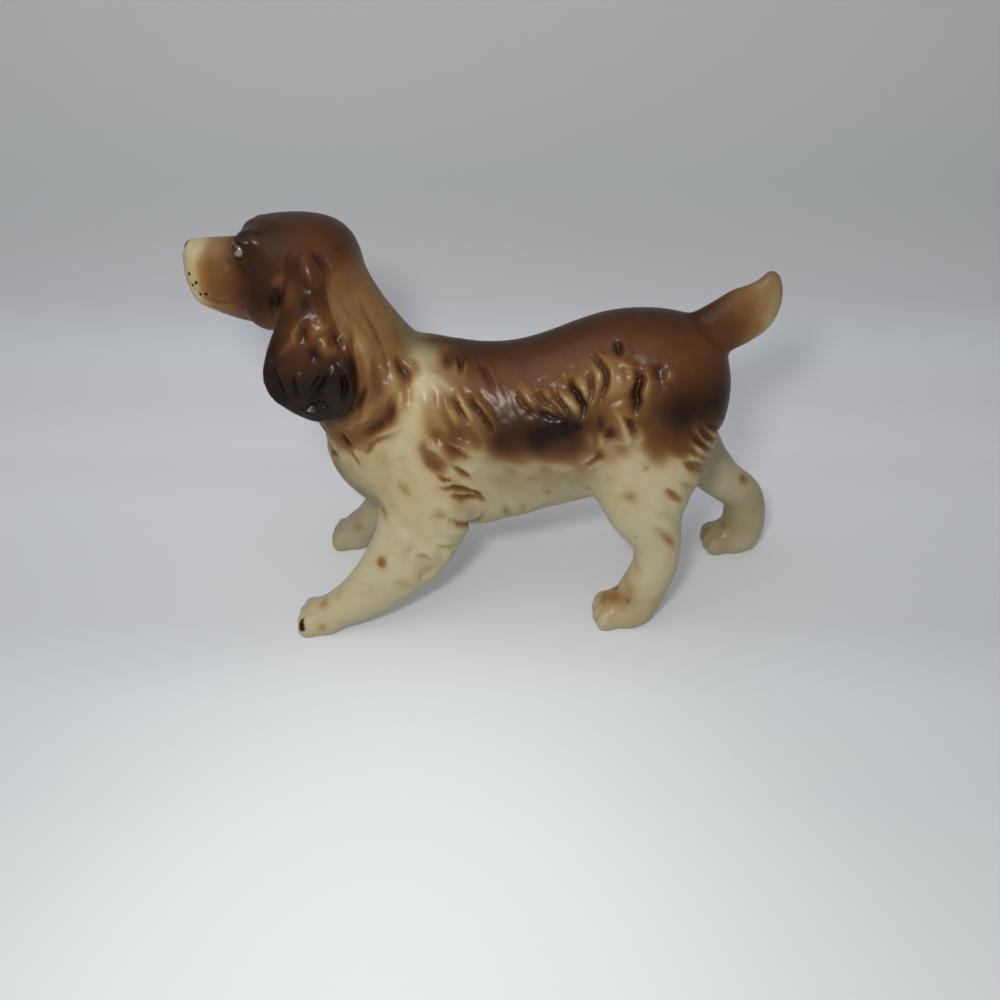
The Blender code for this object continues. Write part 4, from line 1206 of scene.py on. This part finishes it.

# %% [markdown]
# The second pass is black-brown, aimed at a few lines: along the spine, over the flank and the rump, round
# the eye and over the crown. The strongest pass wins where two of them meet, so the order doesn't matter.
# The legs on the far side get a thin one too, and so do the chest and the edge of the belly: these three are
# painted shade, where the body and the head shade them.

# %% Dark passes of the body
# strength and reach of a dark pass, and its way over the left side, which is sprayed on both
DARK_PASSES = {
    "spine": (0.8, 8.6, ((-17, 0, 79.5), (-8, 0, 79), (4, 0, 78), (15, 0, 80.5), (30, 0, 85.5),
                         (52, 0, 86))),
    "flank": (0.86, 7.4, ((5, 17, 59), (13, 17, 61), (22, 17.3, 62))),
    "flank again": (1.05, 7, ((13, 17, 60), (20, 17.3, 61.5))),
    # painted shade along the edge of the belly, under the body
    "edge of the belly": (0.28, 7, ((2, 18, 47.5), (14, 18, 47), (26, 18, 48))),
    "rump": (0.98, 8.6, ((48, 17, 66), (54, 14, 66.5), (61, 8, 66))),
    "face": (0.82, 7.5, ((-49, 8.5, 107), (-52.5, 10, 104), (-51.5, 11.5, 99), (-50, 12, 93))),
    "brow": (0.96, 4.4, ((-57, 1, 107.5), (-55.5, 6.5, 107.5), (-54, 9.5, 105.5))),
    "crown": (0.6, 10, ((-53, 0, 108.5), (-44, 0, 109.5), (-36, 0, 108))),
    "tail": (0.42, 4.6, ((56, 0, 86), (62, 0, 90), (68, 0, 95), (74, 0, 101))),
    # painted shade on the chest, under the head and the ear
    "chest": (0.34, 6.5, ((-42, 3, 56), (-40, 6, 50), (-37, 9, 44), (-33, 11, 38))),
}
# painted shade on the far legs, where the body shades them: the same on the right side alone
FAR_SHADE_PASSES = {
    "hind paw": (0.34, 8, ((72, 18, 6), (80, 18, 20))),
    "thigh": (0.34, 8, ((64, 14, 50), (68, 16, 42))),
    "foreleg": (0.34, 8, ((-50, 20, 6), (-42, 20, 14), (-36, 18, 25))),
}


def dark_of(points):
    """Dark cover of the skin: the strongest of the passes at each point, slightly uneven. The passes on the
    chest, the edge of the belly and the far legs are painted shade.
    """
    far = eased(points[:, 1], 4.0, 10.0)
    both = [strength * puff(points, way, reach) for strength, reach, way in DARK_PASSES.values()]
    right = [strength * puff(points, way, reach) * far for strength, reach, way in FAR_SHADE_PASSES.values()]
    return np.max(both + right, axis=0) * (0.92 + 0.16 * wobble(points, 11.0, 5))


gathered = 0.40 * pool * (0.7 + 0.3 * wobble(skin, 12.0, 13)) + 0.42 * tint
dark = dark_of(skin) * (1 - 0.8 * wiped) + gathered * reach + 0.16 * tint**2
dark = dark.clip(0, 1)
print("share of the skin that is dark:", round(float((dark > 0.5).mean()), 2))

# %% [markdown]
# The ears are sprayed darker than the rest: nearly black at the front edge and the curled tips, amber in
# the middle where the locks catch the spray, and red-brown at the hinge.

# %% Paint the ears
TIPS_DARK, EDGE_DARK, EAR_DARK = 0.98, 0.90, 0.58
EAR_BROWN = 0.96
AMBER_LOSS, REAR_LOSS = 0.36, 0.36
ear_x, _, ear_z = skin.T
ear_cover = ear_outside * (1 - eased(np.abs(ear_u), 0.95, 1.2)) * eased(ear_v, 0.02, 0.15)
tips = 1 - eased(ear_z - 0.25 * (ear_x + 40.0), 75.0, 88.0)
front_edge = (1 - eased(ear_x, -49.5, -44.5)) * (1 - eased(ear_z, 86.0, 96.0))
amber = np.exp(-((ear_x + 38.0) ** 2 / 36.0 + (ear_z - 87.0) ** 2 / 50.0))
rear = eased(ear_u, 0.2, 0.9) * eased(ear_z, 84.0, 90.0)
middle_dark = EAR_DARK - AMBER_LOSS * amber - REAR_LOSS * rear
ear_dark = np.maximum(np.maximum(TIPS_DARK * tips, EDGE_DARK * front_edge), middle_dark)
ear_dark = ear_dark * (0.95 + 0.1 * wobble(skin, 6.0, 8)) + 0.25 * pool + 0.4 * tint - 0.34 * wiped
ear_dark -= 0.22 * crest * (1 - tips)
ear_brown = EAR_BROWN - 0.18 * amber - 0.14 * rear - 0.08 * crest + 0.10 * pool - 0.26 * wiped
dark = (dark + (ear_dark - dark) * ear_cover).clip(0, 1)
brown = (brown + (ear_brown - brown) * ear_cover).clip(0, 1)
print("ears painted on", int((ear_cover > 0.5).sum()), "points")

# %% [markdown]
# The last colours are touched in with a fine brush: a black nose, a dark line round the eye, five whisker
# dots on each lip, and a claw here and there. The points of a fine net are half a millimetre apart, so a
# small dot is a spot with a fairly sharp edge.

# %% Brush marks
CLAWS = ((301, 621), (301, 625), (302, 629))
CLAW_REACH = 0.75
NOSE_TIP = (-72.2, 0.0, 102.4)
NOSE_SHAPE = (1.0, 1.5, 1.1)
EYE_LINE_SHAPE = (1.15, 1.0, 0.95)

nose_way = np.sqrt(((skin - NOSE_TIP) / NOSE_SHAPE) ** 2 @ np.ones(3))
marks = 1 - eased(nose_way, 1.5, 2.5)
for side in (-1, 1):
    ring = np.linalg.norm((skin - np.array(EYE) * (1, side, 1)) / EYE_LINE_SHAPE, axis=1)
    marks = np.maximum(marks, 0.9 * (1 - eased(ring, 2.0, 2.9)))
claw_way = np.sqrt(((skin[:, None] - clay.seen(CLAWS)) ** 2).sum(-1)).min(1)
marks = np.maximum(marks, 0.9 * (1 - eased(claw_way, 0.6 * CLAW_REACH, 1.6 * CLAW_REACH)))
dark = np.maximum(dark, marks)
brown = np.maximum(brown, marks)
print("brush marks on", int((marks > 0.5).sum()), "points")

# %% [markdown]
# The figurine is one skin by now, but it is parted into the pieces it was cast in, one for each node of the
# plain model. Each face goes to the node whose facets are nearest, which is looked up once for each cell of
# a coarse grid. The labels are then spread over their neighbours a few times, which rounds off the borders.
# Every piece is closed inside with a fan of triangles from its border to one point, and it keeps the normals
# of the whole skin, so that the glaze runs over the seams without a line, as it does on the real one.

# %% Find the owner of each face
SKIN_NODES = ("torso", "head", "left_ear", "right_ear", "tail", *LEGS)
CELL = 1.0
CHUNK = 2048


def facet_centres(node):
    """Middle of each facet of a node, in the millimetres of the tables."""
    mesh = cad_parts[node].data
    centres = np.empty(len(mesh.polygons) * 3)
    mesh.polygons.foreach_get("center", centres)
    return centres.reshape(-1, 3) / MM - shift


centres = [facet_centres(node) for node in SKIN_NODES]
owner_of_facet = np.repeat(np.arange(len(SKIN_NODES)), [len(rows) for rows in centres])
centres = np.concatenate(centres).astype(np.float32)
cells, cell_of_face = np.unique(np.round(skin[net].mean(1) / CELL), axis=0, return_inverse=True)
cells = (cells * CELL).astype(np.float32)
square = (centres**2).sum(1)
nearest = [(square - 2 * cells[i : i + CHUNK] @ centres.T).argmin(1) for i in range(0, len(cells), CHUNK)]
owner = owner_of_facet[np.concatenate(nearest)][cell_of_face.ravel()]
print(len(cells), "cells of", CELL, "mm looked up among", len(centres), "facets")

# %% Round off the borders
BORDER_ROUNDS = 14
cover = np.eye(len(SKIN_NODES))[owner]
corner_count = np.bincount(net.ravel(), minlength=len(skin))
corners = net.ravel()
for _ in range(BORDER_ROUNDS):
    at_points = [np.bincount(corners, np.repeat(share, 4), len(skin)) / corner_count for share in cover.T]
    cover = np.stack(at_points, -1)[net].mean(1)
owner = cover.argmax(1)
print("faces:", {name: int((owner == k).sum()) for k, name in enumerate(SKIN_NODES)})

# %% Part the skin into closed pieces
sides = np.stack([net, np.roll(net, -1, 1)], -1).reshape(-1, 2)
side_face = np.repeat(np.arange(len(net)), 4)
key = np.sort(sides, 1) @ np.array([len(skin), 1])
order = np.argsort(key, kind="stable")
twin = key[order][:-1] == key[order][1:]
first, second = order[:-1][twin], order[1:][twin]
ends = np.concatenate([np.stack([first, second]), np.stack([second, first])], 1)
ends = ends[:, owner[side_face[ends[0]]] != owner[side_face[ends[1]]]]


def painted(name, points, groups, normals, layers):
    """A finished piece in metres, with smooth normals of its own and one number per point for each layer."""
    piece = mesh_object(name, (points + shift) * MM, *groups)
    piece.data.polygons.foreach_set("use_smooth", [True] * len(piece.data.polygons))
    piece.data.normals_split_custom_set_from_vertices(normals.tolist())
    for layer, values in layers.items():
        attribute = piece.data.attributes.new(layer, "FLOAT", "POINT")
        attribute.data.foreach_set("value", values.astype(np.float32))
    return piece


def parted(k, layers):
    """One piece of the skin: its own faces, and a fan that closes each border with a neighbour."""
    faces = net[owner == k]
    inner, outer = ends[:, owner[side_face[ends[0]]] == k]
    rims = sides[inner][:, ::-1]
    neighbours = owner[side_face[outer]]
    hubs = {j: skin[rims[neighbours == j].ravel()].mean(0) for j in np.unique(neighbours)}
    hub_rows = {j: len(skin) + i for i, j in enumerate(hubs)}
    fans = np.column_stack([rims, [hub_rows[j] for j in neighbours]])
    used, renamed = np.unique(np.concatenate([faces.ravel(), fans.ravel()]), return_inverse=True)
    points = np.concatenate([skin, list(hubs.values())])[used]
    normals = np.concatenate([skin_normals, np.tile([0.0, 0.0, 1.0], (len(hubs), 1))])[used]
    values = {name: np.append(layer, np.zeros(len(hubs)))[used] for name, layer in layers.items()}
    groups = renamed[: faces.size].reshape(-1, 4), renamed[faces.size :].reshape(-1, 3)
    return painted(SKIN_NODES[k] + "_glazed", points, groups, normals, values)


SOLE_HEIGHT = 0.12
bare = 1 - eased(skin[:, 2], 0.5 * SOLE_HEIGHT, 2 * SOLE_HEIGHT)
layers = {"brown": brown, "dark": dark, "pool": pool, "bare": bare}
pieces = {name: parted(k, layers) for k, name in enumerate(SKIN_NODES)}
for name, piece in pieces.items():
    print(piece.name, len(piece.data.polygons), "faces")

# %% [markdown]
# The eyes are bumps of clay, painted before the glaze: a cream ball, a brown iris that looks ahead, a
# black pupil. They are small ellipsoids, and the layer called gaze holds how far each point is turned
# towards the place that the dog looks at.

# %% Eyes
GAZE = (-0.80, 0.40, 0.45)
eyes = {}
for side, name in ((-1, "left_eye"), (1, "right_eye")):
    centre = np.array(EYE) * (1, side, 1)
    points, quads, fans = lobe(centre, EYE_SIZE, around=64)
    normals = normals_of(points, quads, fans)
    gaze = normals @ (np.array(GAZE) * (1, side, 1) / np.linalg.norm(GAZE))
    eyes[name] = painted(name, points, (quads, fans), normals, {"gaze": gaze})
print("eyes at", EYE, "mm")

# %% [markdown]
# Now the materials. Two effects serve every piece, so each is a node group: sprayed_colour turns the two
# layers into a colour, and glaze_skin gives the slight waves and pits of the glaze and bares the soles.
# The Principled shader stays in each material, with its coat set on its own sockets.


# %% Node helpers
def add(tree, kind, inputs=(), **settings):
    """A new node. Settings are its properties, and each input is linked to a socket or set to a value."""
    made = tree.nodes.new(kind)
    for key, value in settings.items():
        setattr(made, key, value)
    for key, value in dict(inputs).items():
        if isinstance(value, bpy.types.NodeSocket):
            tree.links.new(value, made.inputs[key])
        else:
            made.inputs[key].default_value = value
    return made


def node_group(name, inputs, outputs):
    """An empty node group with named sockets, and its input and output nodes."""
    tree = bpy.data.node_groups.new(name, "ShaderNodeTree")
    for label, kind in inputs.items():
        tree.interface.new_socket(name=label, in_out="INPUT", socket_type="NodeSocket" + kind)
    for label, kind in outputs.items():
        tree.interface.new_socket(name=label, in_out="OUTPUT", socket_type="NodeSocket" + kind)
    return tree, tree.nodes.new("NodeGroupInput"), tree.nodes.new("NodeGroupOutput")


def maths(tree, operation, a, b):
    """The output of a Math node."""
    return add(tree, "ShaderNodeMath", {0: a, 1: b}, operation=operation).outputs[0]


def ramp_of(tree, factor, steps):
    """The colour output of a Color Ramp with these steps, each a position and a colour."""
    made = add(tree, "ShaderNodeValToRGB", {"Fac": factor})
    elements = made.color_ramp.elements
    while len(elements) < len(steps):
        elements.new(0.5)
    for element, (position, colour) in zip(elements, steps):
        element.position = position
        element.color = (*colour, 1.0)
    return made.outputs["Color"]


# %% Sprayed colour
SPRAY_STEPS = (
    (0, (0.44, 0.388, 0.24)),
    (0.18, (0.39, 0.305, 0.155)),
    (0.38, (0.24, 0.135, 0.05)),
    (0.58, (0.165, 0.075, 0.022)),
    (0.8, (0.11, 0.04, 0.012)),
    (1, (0.06, 0.018, 0.006)),
)
BLACK_BROWN = (0.009, 0.0038, 0.0014, 1.0)
spray, given, result = node_group(
    "sprayed_colour",
    {"Brown": "Float", "Dark": "Float", "Speckle": "Float"},
    {"Color": "Color"},
)
where = add(spray, "ShaderNodeTexCoord").outputs["Object"]
cloud = add(spray, "ShaderNodeTexNoise", {"Vector": where, "Scale": 170.0, "Detail": 4.0, "Roughness": 0.6})
mist = add(spray, "ShaderNodeTexNoise", {"Vector": where, "Scale": 1500.0, "Detail": 2.0, "Roughness": 0.7})
drift = maths(spray, "MULTIPLY", maths(spray, "SUBTRACT", cloud.outputs["Fac"], 0.5), 0.22)
fine = maths(spray, "SUBTRACT", mist.outputs["Fac"], 0.5)
grainy = maths(spray, "MULTIPLY", fine, given.outputs["Speckle"])
uneven = maths(spray, "ADD", given.outputs["Brown"], maths(spray, "ADD", drift, grainy))
shade = maths(spray, "ADD", given.outputs["Dark"], maths(spray, "MULTIPLY", drift, 0.4))
held = add(spray, "ShaderNodeClamp", {"Value": shade}).outputs[0]
# the colour sockets of a Mix node are its inputs 6 and 7 and its output 2
colours = {0: held, 6: ramp_of(spray, uneven, SPRAY_STEPS), 7: BLACK_BROWN}
blend = add(spray, "ShaderNodeMix", colours, data_type="RGBA", blend_type="MIX")
spray.links.new(blend.outputs[2], result.inputs["Color"])
print("ramp of", len(SPRAY_STEPS), "steps in", spray.name)

# %% Glaze skin
glaze, given, result = node_group(
    "glaze_skin",
    {"Bare": "Float", "Ripple": "Float", "Peel": "Float", "Gloss": "Float"},
    {"Height": "Float", "Roughness": "Float", "Coat": "Float"},
)
where = add(glaze, "ShaderNodeTexCoord").outputs["Object"]
ripple = add(glaze, "ShaderNodeTexNoise", {"Vector": where, "Scale": 260.0, "Detail": 2.0, "Roughness": 0.5})
peel = add(glaze, "ShaderNodeTexNoise", {"Vector": where, "Scale": 1100.0, "Detail": 3.0, "Roughness": 0.6})
waves = maths(glaze, "MULTIPLY", ripple.outputs["Fac"], given.outputs["Ripple"])
pits = maths(glaze, "MULTIPLY", peel.outputs["Fac"], given.outputs["Peel"])
glaze.links.new(maths(glaze, "ADD", waves, pits), result.inputs["Height"])
dull = maths(glaze, "ADD", given.outputs["Gloss"], maths(glaze, "MULTIPLY", ripple.outputs["Fac"], 0.12))
rough = maths(glaze, "ADD", dull, maths(glaze, "MULTIPLY", given.outputs["Bare"], 0.5))
glaze.links.new(rough, result.inputs["Roughness"])
glaze.links.new(maths(glaze, "SUBTRACT", 1.0, given.outputs["Bare"]), result.inputs["Coat"])
print(glaze.name, "gives", list(result.inputs.keys())[:3])

# %% [markdown]
# The whisker dots are smaller than the net of the skin, so they can't be one number per point. They are
# worked out in the material instead: the distance, seen from the side, to the nearest of five places on the
# lip. Left and right lip get the same dots, because the y of the place is left out.

# %% Whisker dots
WHISKERS = ((-69.6, 97.0), (-68.1, 95.1), (-69.2, 94.4), (-67.7, 92.3), (-66.0, 92.6))
DOT_RADIUS = 0.42
whisker, given, result = node_group("whisker_dots", {}, {"Dots": "Float"})
where = add(whisker, "ShaderNodeTexCoord").outputs["Object"]
flat = add(whisker, "ShaderNodeVectorMath", {0: where, 1: (1.0, 0.0, 1.0)}, operation="MULTIPLY").outputs[0]
closest = 1.0
for dot_x, dot_z in WHISKERS:
    place = ((dot_x + shift[0]) * MM, 0.0, (dot_z + shift[2]) * MM)
    away = add(whisker, "ShaderNodeVectorMath", {0: flat, 1: place}, operation="DISTANCE").outputs["Value"]
    closest = maths(whisker, "MINIMUM", away, closest)
edge = {"Value": closest, "From Min": 1.2 * DOT_RADIUS * MM, "From Max": 0.7 * DOT_RADIUS * MM}
whisker.links.new(add(whisker, "ShaderNodeMapRange", edge).outputs[0], result.inputs["Dots"])
print(len(WHISKERS), "whisker dots,", 2 * DOT_RADIUS, "mm wide")

# %% [markdown]
# The glaze is a clear coat of glass over the colours. The coat of the Principled shader is just that: a
# second, sharper reflection over a base that hardly shines by itself. The coat is fairly weak and not quite
# smooth, because old glaze mirrors a window as a soft patch, and it stops at the bare soles.

# %% Materials of the glazed pieces
COAT = 0.36
COAT_ROUGHNESS = 0.30
UNDERCOAT_SHINE = 0.02
BUMP_HEIGHT = 0.0006
BUMP_STRENGTH = 0.35
# gloss, ripple, peel and speckle of the finish in each slot
GLAZES = {
    "torso": (0.38, 0.5, 0.1, 0.1),
    "head": (0.38, 0.5, 0.1, 0.1),
    "ear": (0.36, 0.5, 0.12, 0.1),
    "tail": (0.38, 0.5, 0.1, 0.1),
    "leg": (0.38, 0.5, 0.1, 0.1),
}


def layer(tree, name):
    """The number that a piece holds per point under this name."""
    return add(tree, "ShaderNodeAttribute", attribute_name=name).outputs["Fac"]


def glazed(name, gloss, ripple, peel, speckle, dotted=False):
    """A glazed and sprayed material."""
    material = bpy.data.materials.new(name)
    material.use_nodes = True
    tree = material.node_tree
    surface = tree.nodes["Principled BSDF"]
    dark = layer(tree, "dark")
    if dotted:
        dark = maths(tree, "MAXIMUM", dark, add(tree, "ShaderNodeGroup", node_tree=whisker).outputs["Dots"])
    colour = add(tree, "ShaderNodeGroup", node_tree=spray)
    tree.links.new(layer(tree, "brown"), colour.inputs["Brown"])
    tree.links.new(dark, colour.inputs["Dark"])
    colour.inputs["Speckle"].default_value = speckle
    skin_group = add(tree, "ShaderNodeGroup", node_tree=glaze)
    tree.links.new(layer(tree, "bare"), skin_group.inputs["Bare"])
    for label, value in (("Ripple", ripple), ("Peel", peel), ("Gloss", gloss)):
        skin_group.inputs[label].default_value = value
    relief = {"Height": skin_group.outputs["Height"], "Distance": BUMP_HEIGHT, "Strength": BUMP_STRENGTH}
    bump = add(tree, "ShaderNodeBump", relief)
    tree.links.new(colour.outputs["Color"], surface.inputs["Base Color"])
    tree.links.new(skin_group.outputs["Roughness"], surface.inputs["Roughness"])
    tree.links.new(maths(tree, "MULTIPLY", skin_group.outputs["Coat"], COAT), surface.inputs["Coat Weight"])
    tree.links.new(bump.outputs["Normal"], surface.inputs["Normal"])
    surface.inputs["Coat Roughness"].default_value = COAT_ROUGHNESS
    surface.inputs["Specular IOR Level"].default_value = UNDERCOAT_SHINE
    return material


FINISHES = {slot: glazed(slot + "_glaze", *values, dotted=slot == "head") for slot, values in GLAZES.items()}
print("materials:", [material.name for material in FINISHES.values()])

# %% [markdown]
# One ramp paints the eye, from cream at the back over a brown iris to the black pupil where the layer
# called gaze is highest. A little noise makes the rings uneven, as a brush leaves them.

# %% Material of the eyes
EYE_STEPS = (
    (0, (0.22, 0.19, 0.12)),
    (0.5, (0.2, 0.17, 0.1)),
    (0.56, (0.02, 0.01, 0.006)),
    (0.66, (0.07, 0.025, 0.008)),
    (0.82, (0.04, 0.014, 0.006)),
    (0.88, (0.006, 0.005, 0.005)),
)
eye_glaze = bpy.data.materials.new("eye_glaze")
eye_glaze.use_nodes = True
tree = eye_glaze.node_tree
surface = tree.nodes["Principled BSDF"]
where = add(tree, "ShaderNodeTexCoord").outputs["Object"]
shaky = add(tree, "ShaderNodeTexNoise", {"Vector": where, "Scale": 900.0, "Detail": 2.0}).outputs["Fac"]
jitter = maths(tree, "MULTIPLY", maths(tree, "SUBTRACT", shaky, 0.5), 0.10)
rings = ramp_of(tree, maths(tree, "ADD", layer(tree, "gaze"), jitter), EYE_STEPS)
tree.links.new(rings, surface.inputs["Base Color"])
surface.inputs["Roughness"].default_value = 0.2
surface.inputs["Coat Weight"].default_value = 0.4
surface.inputs["Coat Roughness"].default_value = 0.15
print("eyes painted in", len(EYE_STEPS), "steps")

# %% [markdown]
# Each piece rides on the one body of the figurine, stands for its node of the plain model and takes the
# finish of its slot.

# %% Tie the pieces to the model
SLOTS = {"torso": "torso", "head": "head", "tail": "tail", "left_ear": "ear", "right_ear": "ear"}
for name, piece in pieces.items():
    finish = SLOTS.get(name, "leg")
    piece.data.materials.append(FINISHES[finish])
    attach(piece, "root")
    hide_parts(name)
for eye in eyes.values():
    eye.data.materials.append(eye_glaze)
    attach(eye, "root")
print(len(pieces) + len(eyes), "pieces ride on the figurine's body")

# %% [markdown]
# The figurine stands on a sheet of pale paper that curves up behind it. The paper is a profile carried
# sideways: a flat floor, a quarter of a circle, and a wall. Its colour is a gradient over depth and height,
# with light and shade painted into it: pale on the floor, palest where the bend catches the light, as
# painted light, and greyer up the wall, as painted shade. A soft painted sheen in front, and a faint painted
# glow all over, is light that only the eye and mirrors see, so it doesn't light the dog. From behind, the
# sheet is clear, so that the dog can be looked at from all sides.

# %% Paper sweep
FLOOR_FRONT = -420.0
FLOOR_BACK = 70.0
SWEEP_RADIUS = 70.0
WALL_TOP = 420.0
HALF_WIDTH = 620.0


def paper_profile(steps=40):
    """y and z along the paper from front to top."""
    turn = np.linspace(0, np.pi / 2, steps)
    bend = np.stack([FLOOR_BACK + SWEEP_RADIUS * np.sin(turn), SWEEP_RADIUS * (1 - np.cos(turn))], -1)
    return np.concatenate([[[FLOOR_FRONT, 0.0]], bend, [[FLOOR_BACK + SWEEP_RADIUS, WALL_TOP]]])


profile = paper_profile()
ends_x = np.tile([-HALF_WIDTH, HALF_WIDTH], len(profile))
sheet_points = np.column_stack([ends_x, np.repeat(profile, 2, axis=0)])
k = np.arange(len(profile) - 1) * 2
sheet_faces = np.stack([k, k + 1, k + 3, k + 2], -1)
paper = mesh_object("paper_sweep", sheet_points * MM, sheet_faces)
paper.data.polygons.foreach_set("use_smooth", [True] * len(paper.data.polygons))
print("paper from", FLOOR_FRONT, "mm to a wall at", FLOOR_BACK + SWEEP_RADIUS, "mm")

# %% [markdown]
# The colour follows the sum of depth and height, which grows all the way from the front of the floor to the
# top of the wall. One Color Ramp turns that sum into the greys, and the sheen is mixed over it as a glow.

# %% Look of the paper
# greys of the paper, with painted light at the bend and painted shade up the wall
PAPER_STEPS = (
    (0, (0.67, 0.7, 0.72)),
    (0.1, (0.64, 0.69, 0.71)),
    (0.17, (0.68, 0.71, 0.74)),
    (0.24, (0.63, 0.65, 0.68)),
    (0.39, (0.77, 0.79, 0.82)),
    (0.48, (0.77, 0.78, 0.82)),
    (0.56, (0.68, 0.68, 0.72)),
    (0.64, (0.64, 0.67, 0.72)),
    (0.71, (0.53, 0.53, 0.56)),
    (0.83, (0.46, 0.48, 0.49)),
    (1, (0.5, 0.5, 0.52)),
)
PAPER_SHARE = (-0.12, 0.30)
# painted sheen: place, reach and strength of the glow in front, and the faint painted glow all over
SHEEN_PLACE = (-0.028, -0.105, 0.0)
SHEEN_REACH = 0.11
SHEEN = 0.50
PALE = 0.10
SHEEN_COLOUR = (0.93, 0.95, 0.94, 1.0)
paper_look = bpy.data.materials.new("paper")
paper_look.use_nodes = True
tree = paper_look.node_tree
surface = tree.nodes["Principled BSDF"]
where = add(tree, "ShaderNodeTexCoord").outputs["Object"]
place = add(tree, "ShaderNodeSeparateXYZ", {0: where})
reach = maths(tree, "ADD", place.outputs["Y"], place.outputs["Z"])
span = {"Value": reach, "From Min": PAPER_SHARE[0], "From Max": PAPER_SHARE[1]}
greys = ramp_of(tree, add(tree, "ShaderNodeMapRange", span).outputs[0], PAPER_STEPS)
tree.links.new(greys, surface.inputs["Base Color"])
surface.inputs["Roughness"].default_value = 0.7
surface.inputs["Specular IOR Level"].default_value = 0.2

away = add(tree, "ShaderNodeVectorMath", {0: where, 1: SHEEN_PLACE}, operation="DISTANCE").outputs["Value"]
fade = {"Value": away, "From Min": SHEEN_REACH, "From Max": 0.0, "To Min": PALE, "To Max": SHEEN}
sheen = add(tree, "ShaderNodeMapRange", fade, interpolation_type="SMOOTHSTEP").outputs[0]
rays = add(tree, "ShaderNodeLightPath")
looked_at = maths(tree, "MAXIMUM", rays.outputs["Is Camera Ray"], rays.outputs["Is Glossy Ray"])
looked_at = maths(tree, "MAXIMUM", looked_at, rays.outputs["Is Transmission Ray"])
glow = add(tree, "ShaderNodeEmission", {"Color": SHEEN_COLOUR, "Strength": 1.0})
both = add(tree, "ShaderNodeMixShader", {0: maths(tree, "MULTIPLY", sheen, looked_at)})
tree.links.new(surface.outputs["BSDF"], both.inputs[1])
tree.links.new(glow.outputs["Emission"], both.inputs[2])
behind = add(tree, "ShaderNodeNewGeometry").outputs["Backfacing"]
clear = add(tree, "ShaderNodeBsdfTransparent")
one_sided = add(tree, "ShaderNodeMixShader", {0: behind})
tree.links.new(both.outputs["Shader"], one_sided.inputs[1])
tree.links.new(clear.outputs["BSDF"], one_sided.inputs[2])
tree.links.new(one_sided.outputs["Shader"], tree.nodes["Material Output"].inputs["Surface"])
paper.data.materials.append(paper_look)
print("paper:", len(PAPER_STEPS), "greys and a sheen", 2 * SHEEN_REACH / MM, "mm wide")

# %% [markdown]
# The light is soft: a pale room all round, and a large window above, a little to the left, that models the
# forms. A small lamp stands close to the camera, as the flash on a phone does. It throws the narrow shadows
# beside the ear, the legs and the tail, and the glaze mirrors it as short broken glints.

# %% Light
LIGHTS = (
    ("window", (-150, -190, 520), (520, 420), 0.7, (1, 1, 1)),
    ("lamp", (-36, -199, 193), (30, 26), 0.33, (1, 0.98, 0.95)),
)
AIM = (0.0, 0.0, 45.0)
ROOM = (0.80, 0.82, 0.84, 1.0)
ROOM_STRENGTH = 0.36

for name, place, (width, height), power, colour in LIGHTS:
    panel = bpy.data.lights.new(name, "AREA")
    panel.shape = "RECTANGLE"
    panel.size = width * MM
    panel.size_y = height * MM
    panel.energy = power
    panel.color = colour
    lamp = bpy.data.objects.new(name, panel)
    lamp.location = np.array(place) * MM
    way = np.array(AIM) - place
    lamp.rotation_euler = (np.arccos(-way[2] / np.linalg.norm(way)), 0.0, np.arctan2(-way[0], way[1]))
    bpy.context.scene.collection.objects.link(lamp)

world = bpy.data.worlds.new("room")
world.use_nodes = True
world.node_tree.nodes["Background"].inputs["Color"].default_value = ROOM
world.node_tree.nodes["Background"].inputs["Strength"].default_value = ROOM_STRENGTH
bpy.context.scene.world = world
bpy.context.scene.view_settings.view_transform = "Standard"
print("lights:", [name for name, *_ in LIGHTS])
